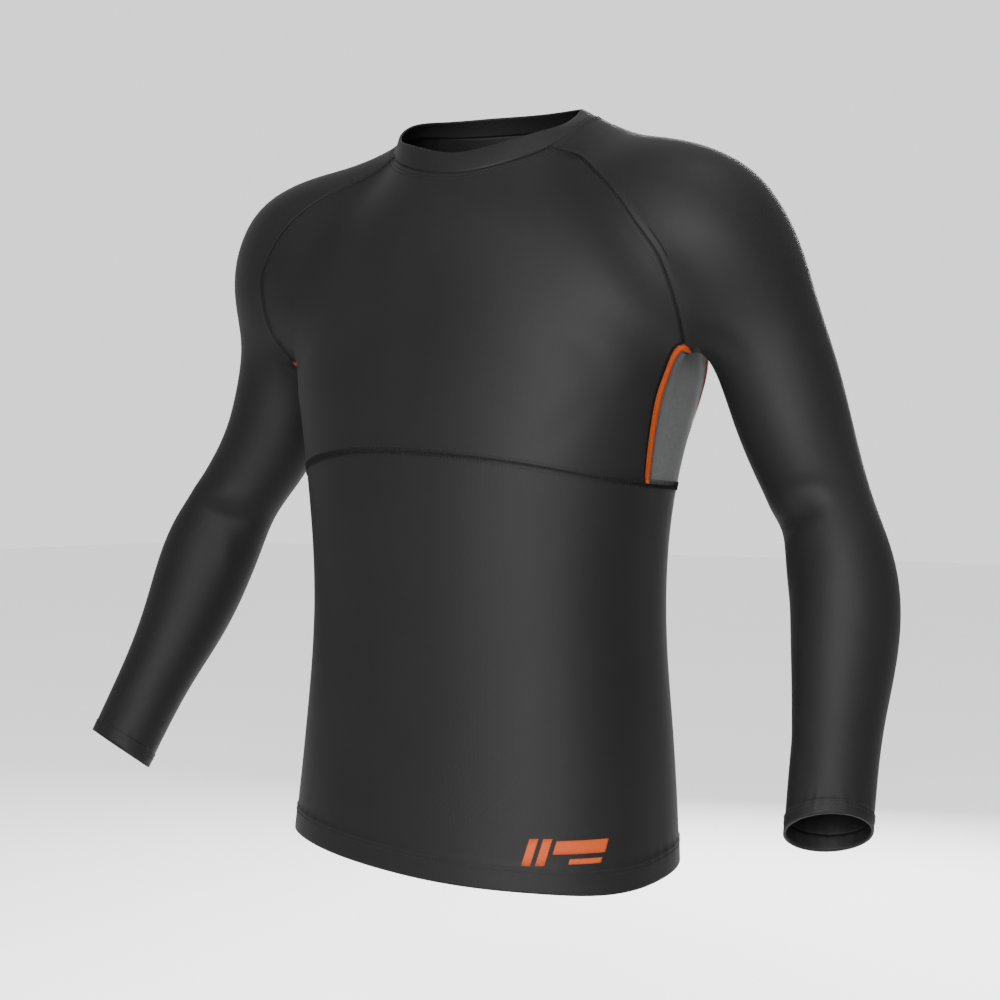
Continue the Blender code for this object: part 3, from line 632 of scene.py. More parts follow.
def settled(points, rounds=8):
    """Points moved along the slope onto the cloth."""
    flat = np.array(points, float).reshape(-1, 3)
    for _ in range(rounds):
        value, slope = figure(flat)
        size = np.maximum((slope ** 2).sum(1), SLOPE_FLOOR)
        step = np.clip(value, -SETTLE_LIMIT, SETTLE_LIMIT)
        flat = flat - step[:, None] * slope / size[:, None]
    return flat.reshape(np.shape(points))


def outward(points):
    flat = np.asarray(points).reshape(-1, 3)
    return unit(figure(flat)[1]).reshape(np.shape(points))


def reached(starts, directions, far=0.6, step=0.003):
    """First place where each line from its start crosses the cloth."""
    starts = np.asarray(starts, float)
    directions = unit(directions)
    sign = np.sign(figure(starts)[0])
    before = np.zeros(len(starts))
    after = np.full(len(starts), far)
    found = np.zeros(len(starts), bool)
    walked = np.zeros(len(starts))
    while walked.max() < far and not found.all():
        walked = walked + step
        crossed = np.sign(figure(starts + directions * walked[:, None])[0]) != sign
        new = crossed & ~found
        before[new] = walked[new] - step
        after[new] = walked[new]
        found |= crossed
    for _ in range(HALVINGS):
        half = (before + after) / 2
        same = np.sign(figure(starts + directions * half[:, None])[0]) == sign
        before = np.where(same, half, before)
        after = np.where(same, after, half)
    return starts + directions * before[:, None]


def patch(bottom, top, left, right):
    """Grid between four edge lines; bottom and top run the same way, left and right run upward."""
    u = shares_between(bottom, top)[None, :, None]
    v = shares_between(left, right)[:, None, None]
    across = (1 - v) * bottom[None] + v * top[None]
    along = (1 - u) * left[:, None] + u * right[:, None]
    lower = (1 - u) * bottom[0] + u * bottom[-1]
    upper = (1 - u) * top[0] + u * top[-1]
    return across + along - (1 - v) * lower - v * upper


def relaxed(grid, rounds=RELAX_ROUNDS, ring=False):
    """Inner points evened out on the cloth, edges kept."""
    grid = settled(grid)
    keep = grid.copy()
    for _ in range(rounds):
        if ring:
            beside = (np.roll(grid, 1, 1) + np.roll(grid, -1, 1))[1:-1]
            mean = (beside + grid[:-2] + grid[2:]) / 4
            grid[1:-1] = (grid[1:-1] + mean) / 2
        else:
            mean = (grid[:-2, 1:-1] + grid[2:, 1:-1] + grid[1:-1, :-2] + grid[1:-1, 2:]) / 4
            grid[1:-1, 1:-1] = (grid[1:-1, 1:-1] + mean) / 2
        grid = settled(grid, 2)
        grid[0], grid[-1] = keep[0], keep[-1]
        if not ring:
            grid[:, 0], grid[:, -1] = keep[:, 0], keep[:, -1]
    return grid


def beside(line, side, distance, rounds):
    """A line beside a closed line on the cloth, its direction evened out along the way."""
    way = unit(np.cross(run_of(line, True), outward(line)) * side)
    for _ in range(rounds):
        way = unit(way / 2 + (np.roll(way, 1, 0) + np.roll(way, -1, 0)) / 4)
    return settled(line + way * distance)


def edge_shift(line, normal, towards, closed):
    """Half a seam gap along the cloth, square to the edge line."""
    side = unit(np.cross(run_of(line, closed), normal))
    sign = np.sign((side * (towards - line)).sum(1))
    return side * sign[:, None] * SEAM_GAP / 2


def drawn_in(grid, normal, edges, ring=False):
    """Grid with the named edges moved half a seam gap off their seams."""
    out = grid.copy()
    every = slice(None)
    for name, edge, beyond in (
            ("bottom", (0,), (1,)), ("top", (-1,), (-2,)),
            ("left", (every, 0), (every, 1)), ("right", (every, -1), (every, -2))):
        if name in edges:
            closed = ring and len(edge) == 1
            out[edge] += edge_shift(grid[edge], normal[edge], grid[beyond], closed)
    return out


def mirrored(points):
    return np.asarray(points) * (-1, 1, 1)


def crowded(first, last, steps):
    """Values from first to last, closer together towards both ends."""
    share = np.sin(np.linspace(-CROWDING, CROWDING, steps + 1)) / math.sin(CROWDING)
    return first + (last - first) * (share + 1) / 2


def table_at(table, angles, column):
    """A column of an angle table, read at any angles."""
    rows = np.array(table)
    wrapped = (np.asarray(angles) + 180.0) % 360.0 - 180.0
    return natural_spline(rows[:, 0], rows[:, column], wrapped)[:, 0]


def oval(size, angles, heights):
    wide, deep, middle = size
    turn = np.radians(angles)
    return np.column_stack([wide * np.sin(turn), middle - deep * np.cos(turn), heights])


def neck_ring(angles, flip=1):
    """Neck seam at the given angles from the front; flip -1 gives the right side, mirrored."""
    heights = table_at(NECK_LEVELS, np.asarray(angles) * flip, 1)
    return settled(oval(NECK_SEAM, angles, heights))


def neck_edge(angles):
    """Top edge of the neck band at the given angles from the front."""
    return oval(NECK_EDGE, angles, table_at(NECK_LEVELS, angles, 2))


def body_points(angles, heights):
    """Places on the body of the shirt at the given angles and heights."""
    turn = np.radians(angles)
    directions = np.column_stack([np.sin(turn), -np.cos(turn), np.zeros(len(turn))])
    starts = directions * BODY_START
    starts[:, 2] = heights
    return reached(starts, directions)


def seam_ring(angles, flip=1):
    """Seam below the chest; flip -1 gives the right side, mirrored."""
    return body_points(angles, table_at(LEVELS, np.asarray(angles) * flip, 1))


def angle_of(point):
    return math.degrees(math.atan2(point[0], -point[1]))


def raglan(rows, start, end):
    """Seam from the neck to the arch."""
    line = np.vstack([start, settled(rows), end])
    line = settled(evenly(line, STEPS_RAGLAN))
    line[0], line[-1] = start, end
    return line


def arch_lines(flip):
    """Outer and inner edges of the piping, split at the raglan joins."""
    rows = settled(np.array(ARCH))
    foot_angles = [angle_of(rows[0]), angle_of(rows[-1])]
    rows[0], rows[-1] = seam_ring(foot_angles, flip)
    knots = chord_knots(rows)
    places = []
    for first, last, steps in (
            (0, ARCH_FRONT_JOIN, STEPS_ARCH_SIDE),
            (ARCH_FRONT_JOIN, ARCH_BACK_JOIN, STEPS_ARCH_TOP),
            (ARCH_BACK_JOIN, len(rows) - 1, STEPS_ARCH_SIDE)):
        places += list(np.linspace(knots[first], knots[last], steps + 1))[bool(places):]
    outer = natural_spline(knots, rows, np.array(places))
    outer[1:-1] = settled(outer[1:-1])
    for _ in range(ARCH_ROUNDS):
        low, high = STEPS_ARCH_SIDE - ARCH_REACH, STEPS_ARCH_SIDE + ARCH_REACH + 1
        outer[low:high] = settled(evened(outer)[low:high])
    side = unit(np.cross(run_of(outer, False), outward(outer)))
    for _ in range(SMOOTH_ROUNDS):
        side = unit(evened(side))
    inner = outer + side * PIPING_WIDTH
    for _ in range(SMOOTH_ROUNDS - 1):
        inner = evened(inner)
    inner = settled(inner)
    turn = math.degrees(PIPING_WIDTH / np.linalg.norm(outer[0, :2]))
    inner[0], inner[-1] = seam_ring([foot_angles[0] + turn, foot_angles[1] - turn], flip)
    return outer, inner


def armhole_turns():
    """Where each armhole point sits round the arm at the top of the sleeve, in turns of 1."""
    lead = NECK_SIDE_TURN / 2
    down = np.linspace(0, 1, STEPS_RAGLAN + 1) ** RAGLAN_TURN_POWER
    front = lead + (UNDERARM_TURN - lead) * down
    under = np.linspace(UNDERARM_TURN, 1 - UNDERARM_TURN, STEPS_ARCH_TOP + 1)
    neck = np.linspace(1 - lead, 1 + lead, STEPS_NECK_SIDE + 1)
    return np.concatenate([front[:-1], under[:-1], (1 - front)[::-1][:-1], neck[:-1]])


def arm_rings(count):
    """Sleeve rings from upper arm to cuff; turns start outermost and go round by the front."""
    line = splined(ARM, FORM_SAMPLES)[:, :3]
    start = int(np.argmin(np.abs(line[:, 2] - SHOULDER_RING_HEIGHT)))
    stop = int(np.argmin(np.linalg.norm(line - CUFF_MIDDLE, axis=1)))
    total = chord_knots(line[start:stop + 1])
    length = total[-1]
    marks = [*np.linspace(0, length - CUFF_DEPTH - TURN_STEP, count), length - CUFF_DEPTH, length]
    crowd = armhole_turns()
    even = (np.arange(len(crowd)) + STEPS_NECK_SIDE / 2) / len(crowd)
    rings = []
    for mark in marks:
        i = start + min(int(np.searchsorted(total, mark)), len(total) - 1)
        axis = unit(line[min(i + 2, len(line) - 1)] - line[max(i - 2, 0)])
        near = max(0.0, 1 - (length - mark) / CUFF_LEAD)
        axis = unit(axis * (1 - near) + np.array(CUFF_OPENS) * near)
        out = np.array(ARM_OUTWARD)
        out = unit(out - axis * out.dot(axis))
        ahead = np.cross(out, axis)
        if ahead[1] > 0:
            ahead = -ahead
        share = min(1.0, mark / EVEN_AFTER)
        turn = (crowd * (1 - share) + even * share) * 2 * math.pi
        directions = np.cos(turn)[:, None] * out + np.sin(turn)[:, None] * ahead
        rings.append(reached(np.tile(line[i], (len(turn), 1)), directions))
    return np.array(rings)


class Side:
    """Seam lines and pieces of one side, held in the frame of the left side."""

    def __init__(self, flip):
        self.flip = flip
        self.outer, self.inner = arch_lines(flip)
        corner_front = neck_ring([RAGLAN_FRONT_ANGLE], flip)[0]
        corner_back = neck_ring([RAGLAN_BACK_ANGLE], flip)[0]
        join_back = STEPS_ARCH_SIDE + STEPS_ARCH_TOP
        self.seam_front = raglan(RAGLAN_FRONT, corner_front, self.outer[STEPS_ARCH_SIDE])
        self.seam_back = raglan(RAGLAN_BACK, corner_back, self.outer[join_back])
        self.front = np.vstack([self.outer[:STEPS_ARCH_SIDE], self.seam_front[::-1]])
        self.back = np.vstack([self.outer[:join_back:-1], self.seam_back[::-1]])

    def turned(self, points):
        return points * (self.flip, 1, 1)

    def panel(self, angles):
        """Arched panel inside the piping."""
        bottom = seam_ring(angles, self.flip)
        spare = (len(self.inner) - 1 - STEPS_PANEL_WIDE) // 2
        front_side = self.inner[:spare + 1]
        crown = self.inner[spare:spare + STEPS_PANEL_WIDE + 1]
        back_side = self.inner[:spare + STEPS_PANEL_WIDE - 1:-1]
        return relaxed(patch(bottom, crown, front_side, back_side))

    def sleeve(self):
        """Sleeve from the armhole to the cuff, point 0 of each ring at the front neck corner."""
        neck_angles = np.linspace(RAGLAN_BACK_ANGLE, RAGLAN_FRONT_ANGLE, STEPS_NECK_SIDE + 1)
        neck_side = neck_ring(neck_angles, self.flip)
        arch_top = self.outer[STEPS_ARCH_SIDE:STEPS_ARCH_SIDE + STEPS_ARCH_TOP + 1]
        armhole = np.vstack([
            self.seam_front[:-1], arch_top[:-1], self.seam_back[::-1][:-1], neck_side[:-1]])
        rings = arm_rings(STEPS_ARM)
        first = beside(armhole, -1, ARMHOLE_ROW, SMOOTH_ROUNDS * 2)
        mid_a = first.mean(0)
        mid_b = rings[0].mean(0)
        arms_a = first - mid_a
        arms_b = rings[0] - mid_b
        reach_a = np.linalg.norm(arms_a, axis=1)[:, None]
        reach_b = np.linalg.norm(arms_b, axis=1)[:, None]
        over = np.clip(BOW_SHARE + np.cos(armhole_turns() * 2 * math.pi), 0, 1)[:, None]
        steps = []
        for share in np.linspace(0, 1, STEPS_SHOULDER)[:-1]:
            way = unit(arms_a / reach_a * (1 - share) + arms_b / reach_b * share)
            middle = mid_a * (1 - share) + mid_b * share
            bowed = middle + way * (reach_a * (1 - share) + reach_b * share)
            straight = first * (1 - share) + rings[0] * share
            steps.append(straight + (bowed - straight) * over)
        upper = relaxed(np.array(steps + list(rings[:RINGS_RELAXED])), SLEEVE_ROUNDS, ring=True)
        return np.concatenate([armhole[None], upper[:-1], rings[RINGS_RELAXED - 1:]])


def finer(grid, breaks, times):
    """Rows added between the given ones, each stretch between breaks splined by itself."""
    flat = grid.reshape(len(grid), -1)
    parts = []
    for first, last in zip(breaks[:-1], breaks[1:]):
        at = np.linspace(first, last, (last - first) * times + 1)
        part = natural_spline(np.arange(first, last + 1), flat[first:last + 1], at)
        parts.append(part if last == breaks[-1] else part[:-1])
    return np.concatenate(parts).reshape(-1, *grid.shape[1:])


def finer_both(grid, row_breaks, column_breaks, times_rows, times_columns, ring=False):
    """A grid made finer along both ways; a ring's columns close on themselves."""
    if ring:
        grid = np.concatenate([grid, grid[:, :1]], 1)
    fine = finer(grid, row_breaks, times_rows)
    fine = finer(fine.transpose(1, 0, 2), column_breaks, times_columns).transpose(1, 0, 2)
    if ring:
        fine = fine[:, :-1]
    return fine


def away_from(points, line):
    """Distance of each point to the nearest of a line's points, with the line made fine first."""
    dense = evenly(line, int(chord_knots(line)[-1] / LINE_STEP) + 1)
    flat = points.reshape(-1, 3)
    best = np.full(len(flat), FAR)
    low = dense.min(0) - LINE_REACH
    high = dense.max(0) + LINE_REACH
    near = np.where(((flat > low) & (flat < high)).all(1))[0]
    for start in range(0, len(near), LINE_BATCH):
        use = near[start:start + LINE_BATCH]
        gap = flat[use, None] - dense[None]
        best[use] = np.sqrt((gap ** 2).sum(2).min(1))
    return best.reshape(points.shape[:-1])


def seam_height(distance):
    """Flat seam: a low band with soft edges and a fine cleft along its middle."""
    band = smooth_step((SEAM_HALF + SEAM_SOFT - distance) / (2 * SEAM_SOFT))
    cleft = np.exp(-(distance / CLEFT_HALF) ** 2)
    return SEAM_RISE * band - SEAM_CLEFT * cleft


def fold_height(points, folds, strength):
    """Sum of the soft folds at each point."""
    height = np.zeros(points.shape[:-1])
    for x, y, z, dx, dy, dz, half_long, half_wide, rise in folds:
        way = unit(np.array((dx, dy, dz)))
        gap = points - (x, y, z)
        along = gap @ way
        across = (gap ** 2).sum(-1) - along ** 2
        bend = np.exp(-(along / half_long) ** 2 - np.clip(across, 0, None) / half_wide ** 2)
        height += rise * bend
    return height * strength


class Shirt:
    """All the seam lines and fine grids of the shirt, worked out once."""

    def __init__(self):
        self.left = Side(1)
        self.right = Side(-1)
        left, right = self.left, self.right
        foot, back_foot = (angle_of(left.outer[i]) for i in (0, -1))
        front_angles = crowded(-foot, foot, STEPS_CHEST)
        back_angles = crowded(back_foot, 360 - back_foot, STEPS_CHEST)
        self.chest = self.trunk(
            front_angles, (-RAGLAN_FRONT_ANGLE, RAGLAN_FRONT_ANGLE), mirrored(right.front),
            left.front)
        self.back = self.trunk(
            back_angles, (RAGLAN_BACK_ANGLE, 360 - RAGLAN_BACK_ANGLE), left.back,
            mirrored(right.back))

        self.panel_angles = np.linspace(
            angle_of(left.inner[0]), angle_of(left.inner[-1]), STEPS_PANEL_WIDE + 1)
        around = np.concatenate([
            front_angles, self.panel_angles, back_angles, 360 - self.panel_angles[::-1],
            [360 + front_angles[0]]])
        around = finer(around[:, None], [0, len(around) - 1], FINER_COLUMNS)[:-1, 0]
        top = table_at(LEVELS, around, 1)
        hem = table_at(LEVELS, around, 2)
        fold = hem + HEM_DEPTH + TURN_STEP
        shares = np.linspace(0, 1, STEPS_LOWER * FINER_LOWER)
        levels = [top + (fold - top) * share for share in shares]
        levels += [hem + HEM_DEPTH * share for share in np.linspace(1, 0, HEM_ROWS)]
        self.lower = np.array([body_points(around, level) for level in levels])

        self.hem_line = body_points(around, hem + HEM_DEPTH)
        closed = np.arange(0, 360, RING_STEP)
        self.seam_line = seam_ring(closed)
        self.neck_line = neck_ring(closed)
        self.sleeves = [self.sleeve(left), self.sleeve(right)]

    def trunk(self, seam_angles, neck_ends, left, right):
        """Chest or back between the seam below it, the neck and the lines at its sides."""
        top = neck_ring(crowded(*neck_ends, STEPS_CHEST))
        coarse = relaxed(patch(seam_ring(seam_angles), top, left, right))
        rows = [0, STEPS_ARCH_SIDE, STEPS_ARCH_SIDE + STEPS_RAGLAN]
        return settled(finer_both(coarse, rows, [0, STEPS_CHEST], FINER_ROWS, FINER_COLUMNS))

    def sleeve(self, side):
        corners = np.cumsum([0, STEPS_RAGLAN, STEPS_ARCH_TOP, STEPS_RAGLAN, STEPS_NECK_SIDE])
        coarse = side.sleeve()
        rows = [0, 1, *range(len(coarse) - 3, len(coarse))]
        fine = finer_both(coarse, rows, list(corners), FINER_ROWS, FINER_COLUMNS, ring=True)
        return side.turned(settled(fine))

    def seam_lines(self):
        """The four raglan seams, then the seam below the chest."""
        lines = []
        for side in (self.left, self.right):
            lines.append(side.turned(side.seam_front))
            lines.append(side.turned(side.seam_back))
        lines.append(closed_line(self.seam_line))
        return lines


def cloth_mesh(name, outer, inner, ring):
    """Closed wall between two grids, with a UV map in metres along its rows and columns."""
    rows, columns = outer.shape[:2]
    count = rows * columns
    wide = columns if ring else columns - 1
    r, c = np.meshgrid(np.arange(rows - 1), np.arange(wide), indexing="ij")
    d = (c + 1) % columns
    low, high = r * columns, (r + 1) * columns
    front = np.stack([low + c, low + d, high + d, high + c], -1).reshape(-1, 4)
    widths = np.linalg.norm(np.roll(outer, -1, 1) - outer, axis=2)[:, :wide]
    heights = np.linalg.norm(np.diff(outer, axis=0), axis=2)
    u = np.concatenate([[0.0], np.cumsum(widths.mean(0))])
    v = np.concatenate([[0.0], np.cumsum(heights.mean(1))])
    corner_u = np.stack([u[c], u[c + 1], u[c + 1], u[c]], -1).reshape(-1, 4)
    corner_v = np.stack([v[r], v[r], v[r + 1], v[r + 1]], -1).reshape(-1, 4)
    uv = np.stack([corner_u, corner_v], -1)
    faces = [front, front[:, ::-1] + count]
    maps = [uv, uv[:, ::-1]]
    if ring:
        foot = np.arange(columns)
        loops = [np.append(foot, 0), np.append(foot[::-1], columns - 1) + (rows - 1) * columns]
    else:
        lap = list(range(columns - 1))
        lap += [i * columns + columns - 1 for i in range(rows - 1)]
        lap += [(rows - 1) * columns + i for i in range(columns - 1, 0, -1)]
        lap += [i * columns for i in range(rows - 1, 0, -1)]
        loops = [np.array(lap + [0])]
    for loop in loops:
        a, b = loop[:-1], loop[1:]
        rim = np.stack([b, a, a + count, b + count], -1)
        place = np.arange(len(a) + 1) * CLOTH
        faces.append(rim)
        flat = np.zeros((len(a), 4, 2))
        flat[:, :, 0] = np.stack([place[1:], place[:-1], place[:-1], place[1:]], -1)
        flat[:, 2:, 1] = CLOTH
        maps.append(flat)
    vertices = np.concatenate([outer.reshape(-1, 3), inner.reshape(-1, 3)])
    faces = np.concatenate(faces)
    maps = np.concatenate(maps)
    a, b, c, d = (vertices[faces[:, i]] for i in range(4))
    volume = (a * np.cross(b, c)).sum() + (a * np.cross(c, d)).sum()
    if volume < 0:
        faces, maps = faces[:, ::-1], maps[:, ::-1]
    mesh = bpy.data.meshes.new(name)
    mesh.from_pydata(vertices.tolist(), [], faces.tolist())
    mesh.uv_layers.new(name="Cloth").data.foreach_set("uv", maps.reshape(-1))
    mesh.polygons.foreach_set("use_smooth", np.ones(len(faces), bool))
    mesh.update()
    return mesh


def add_piece(name, mesh, material, node=None):
    """Links a piece, gives it its material and makes it ride on the shirt."""
    piece = bpy.data.objects.new(name, mesh)
    bpy.context.scene.collection.objects.link(piece)
    mesh.materials.clear()
    mesh.materials.append(material)
    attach(piece, BODY)
    if node:
        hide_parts(node)
    return piece


def clothe(name, grid, lift, material, node, ring=False, wall=CLOTH, edges=EVERY_EDGE):
    """A cloth piece: a fine grid lifted along its normals and given a thin wall."""
    normal = outward(grid)
    outer = drawn_in(grid, normal, edges, ring) + normal * lift[:, :, None]
    thick = np.broadcast_to(wall, grid.shape[:2])[:, :, None]
    mesh = cloth_mesh(name, outer, outer - normal * thick, ring)
    return add_piece(name, mesh, material, node)


def set_inputs(node, values):
    for name, value in values.items():
        node.inputs[name].default_value = value


def wired(tree, *wires):
    for start, end in wires:
        tree.links.new(start, end)


def nodes_of(name, colour, rough, specular=0.5):
    """A new material with its tree, its shader and the object's own coordinates."""
    material = bpy.data.materials.new(name)
    material.use_nodes = True
    material.diffuse_color = (*colour, 1.0)
    tree = material.node_tree
    shader = tree.nodes["Principled BSDF"]
    set_inputs(shader, {"Roughness": rough, "Specular IOR Level": specular})
    return material, tree, shader, tree.nodes.new("ShaderNodeTexCoord").outputs["Object"]


def math_node(tree, operation, *values):
    """A math node fed by sockets or plain numbers; returns its output socket."""
    node = tree.nodes.new("ShaderNodeMath")
    node.operation = operation
    for socket, value in zip(node.inputs, values):
        if isinstance(value, bpy.types.NodeSocket):
            tree.links.new(value, socket)
        else:
            socket.default_value = value
    return node.outputs[0]


def weighed(tree, first, second, weights):
    """Weighted sum of two sockets."""
    parts = [math_node(tree, "MULTIPLY", *pair) for pair in zip((first, second), weights)]
    return math_node(tree, "ADD", *parts)


def noise(tree, vector, scale, detail):
    node = tree.nodes.new("ShaderNodeTexNoise")
    set_inputs(node, {"Scale": scale, "Detail": detail})
    tree.links.new(vector, node.inputs["Vector"])
    return node.outputs["Fac"]


def tinted(tree, shader, factor, colour, shares):
    """Colours the shader from a darker to a lighter shade of one colour, fed by factor."""
    ramp = tree.nodes.new("ShaderNodeValToRGB")
    for stop, position, share in zip(ramp.color_ramp.elements, RAMP_STOPS, shares):
        stop.position = position
        stop.color = (*(min(1.0, channel * share) for channel in colour), 1.0)
    wired(tree, (factor, ramp.inputs["Fac"]), (ramp.outputs["Color"], shader.inputs["Base Color"]))


def knit_height(tree, pitch):
    """Height of a knit: a V of stitches in each wale, row after row, from the cloth's UV map."""
    place = tree.nodes.new("ShaderNodeUVMap")
    place.uv_map = "Cloth"
    parts = tree.nodes.new("ShaderNodeSeparateXYZ")
    tree.links.new(place.outputs["UV"], parts.inputs["Vector"])
    turn = 2 * math.pi / pitch
    wale = math_node(tree, "MULTIPLY", parts.outputs["X"], turn)
    course = math_node(tree, "MULTIPLY", parts.outputs["Y"], turn / COURSE_SHARE)
    half = math_node(tree, "SINE", math_node(tree, "MULTIPLY", wale, 0.5))
    lean = math_node(tree, "MULTIPLY", math_node(tree, "ABSOLUTE", half), LEG_LEAN)
    leg = math_node(tree, "SINE", math_node(tree, "ADD", course, lean))
    valley = math_node(tree, "COSINE", wale)
    return weighed(tree, leg, valley, LEG_AND_VALLEY), place.outputs["UV"]


def bumped(tree, shader, height, distance, strength):
    bump = tree.nodes.new("ShaderNodeBump")
    set_inputs(bump, {"Strength": strength, "Distance": distance})
    wired(tree, (height, bump.inputs["Height"]), (bump.outputs["Normal"], shader.inputs["Normal"]))


def smooth_knit(name, colour, pitch):
    """Close stretch knit with a soft sheen, a little uneven in shade and roughness."""
    material, tree, shader, place = nodes_of(name, colour, KNIT_ROUGH, KNIT_SPECULAR)
    height, _ = knit_height(tree, pitch)
    broad = noise(tree, place, *KNIT_CLOUD)
    fine = noise(tree, place, *KNIT_GRAIN)
    tinted(tree, shader, weighed(tree, broad, fine, CLOUD_AND_GRAIN), colour, KNIT_SHADES)
    rough = math_node(tree, "MULTIPLY_ADD", fine, 2 * KNIT_UNEVEN, KNIT_ROUGH - KNIT_UNEVEN)
    tree.links.new(rough, shader.inputs["Roughness"])
    bumped(tree, shader, weighed(tree, height, fine, HEIGHT_AND_GRAIN), *KNIT_BUMP)
    return material


def heather_mesh(name, colour, pitch):
    """Heather knit with pale and dark yarns and a grid of small holes, the holes darkened in colour
    as painted shade.
    """
    material, tree, shader, place = nodes_of(name, colour, HEATHER_ROUGH, HEATHER_SPECULAR)
    height, uv = knit_height(tree, pitch)
    yarn = noise(tree, place, *YARN_GRAIN)
    streak = noise(tree, place, *YARN_STREAK)
    cells = tree.nodes.new("ShaderNodeTexVoronoi")
    cells.inputs["Scale"].default_value = 1 / HOLE_PITCH
    tree.links.new(uv, cells.inputs["Vector"])
    # Hole mask: relief for the bump, and painted shade that darkens the colour in the holes
    hole_relief_and_painted_shade = math_node(tree, "LESS_THAN", cells.outputs["Distance"], HOLE_SIZE)
    mixed = weighed(tree, yarn, streak, YARN_AND_STREAK)
    # Colour darkened at the holes: painted shade
    tinted(tree, shader, weighed(tree, mixed, hole_relief_and_painted_shade, TONE_AND_PAINTED_HOLE_SHADE), colour, HEATHER_SHADES)
    shader.inputs["Sheen Weight"].default_value = HEATHER_SHEEN
    bumped(tree, shader, weighed(tree, height, hole_relief_and_painted_shade, HEIGHT_AND_HOLE), *HEATHER_BUMP)
    return material


def tape_knit(name, colour, pitch):
    """Flat tape with fine ribs across it."""
    material, tree, shader, place = nodes_of(name, colour, TAPE_ROUGH, TAPE_SPECULAR)
    height, _ = knit_height(tree, pitch)
    tinted(tree, shader, noise(tree, place, *TAPE_GRAIN), colour, TAPE_SHADES)
    bumped(tree, shader, height, *TAPE_BUMP)
    return material


def twisted_thread(name, colour):
    """Sewing thread with a slight twist in shade."""
    material, tree, shader, place = nodes_of(name, colour, THREAD_ROUGH, THREAD_SPECULAR)
    fine = noise(tree, place, *THREAD_GRAIN)
    tinted(tree, shader, fine, colour, THREAD_SHADES)
    bumped(tree, shader, fine, *THREAD_BUMP)
    return material


def plain(name, colour, rough):
    """A plain material with a very slight unevenness."""
    material, tree, shader, place = nodes_of(name, colour, rough)
    tinted(tree, shader, noise(tree, place, *FLOOR_CLOUD), colour, FLOOR_SHADES)
    return material


def shared(name, make, *values):
    """A material made once and used by every piece that names it."""
    return bpy.data.materials.get(name) or make(name, *values)


def all_folds():
    """The folds of both sides; the right arm's are a little fainter and lower than the left's."""
    rows = list(FOLDS_BODY) + list(FOLDS_ARM)
    for x, y, z, dx, *more, rise in FOLDS_ARM:
        rows.append((-x, y, z - RIGHT_FOLD_DROP, -dx, *more, rise * RIGHT_FOLD_SHARE))
    return rows


def beside_line(line, distance, closed):
    """A line beside another on the cloth, at a signed distance."""
    way = unit(np.cross(run_of(line, closed), outward(line)))
    return settled(line + way * distance, LINE_ROUNDS)


def lower_of(line, distance):
    """The closed line at that distance below another."""
    two = [beside_line(line, side * distance, True) for side in (1, -1)]
    return min(two, key=lambda points: points[:, 2].mean())


def raised(line, folds, height):
    """A line lifted off the figure by the folds and a height of its own."""
    return line + outward(line) * (fold_height(line, folds, fold_strength()) + height)[:, None]


def zigzag(line, half_width, pitch, closed):
    """Points going from side to side of a line, one pitch for a whole turn."""
    if closed:
        line = closed_line(line)
    count = int(round(chord_knots(line)[-1] / pitch)) * 2
    even = evenly(line, count)
    sides = np.where(np.arange(count + 1) % 2 == 0, half_width, -half_width)
    return beside_line(even, sides[:, None], False)


def closed_line(line):
    return np.concatenate([line, line[:1]])


def lines_mesh(name, lines):
    """A mesh of loose edges along open lines."""
    vertices, edges = [], []
    for line in lines:
        start = len(vertices)
        vertices += [tuple(point) for point in line]
        edges += [(start + i, start + i + 1) for i in range(len(line) - 1)]
    mesh = bpy.data.meshes.new(name)
    mesh.from_pydata(vertices, edges, [])
    return mesh


def new_tree(name, floats):
    """A geometry tree with its inputs; returns it, its input node and the curve of its edges."""
    tree = bpy.data.node_groups.new(name, "GeometryNodeTree")

    def socket(name, kind, way="INPUT"):
        return tree.interface.new_socket(name, in_out=way, socket_type="NodeSocket" + kind)

    socket("Geometry", "Geometry")
    for label, default, low in floats:
        number = socket(label, "Float")
        number.default_value = default
        number.min_value = low
    socket("Material", "Material")
    socket("Geometry", "Geometry", "OUTPUT")
    given = tree.nodes.new("NodeGroupInput")
    curve = tree.nodes.new("GeometryNodeMeshToCurve")
    tree.links.new(given.outputs["Geometry"], curve.inputs["Mesh"])
    return tree, given.outputs, curve.outputs["Curve"]


def end_of_tree(tree, geometry, material):
    """Realizes the instances, smooths them, sets the thread's material and ends the tree."""
    real, smooth, paint, out = (tree.nodes.new(kind) for kind in (
        "GeometryNodeRealizeInstances", "GeometryNodeSetShadeSmooth", "GeometryNodeSetMaterial",
        "NodeGroupOutput"))
    wired(
        tree, (geometry, real.inputs[0]), (real.outputs[0], smooth.inputs["Geometry"]),
        (smooth.outputs[0], paint.inputs["Geometry"]), (material, paint.inputs["Material"]),
        (paint.outputs[0], out.inputs[0]))
    return tree


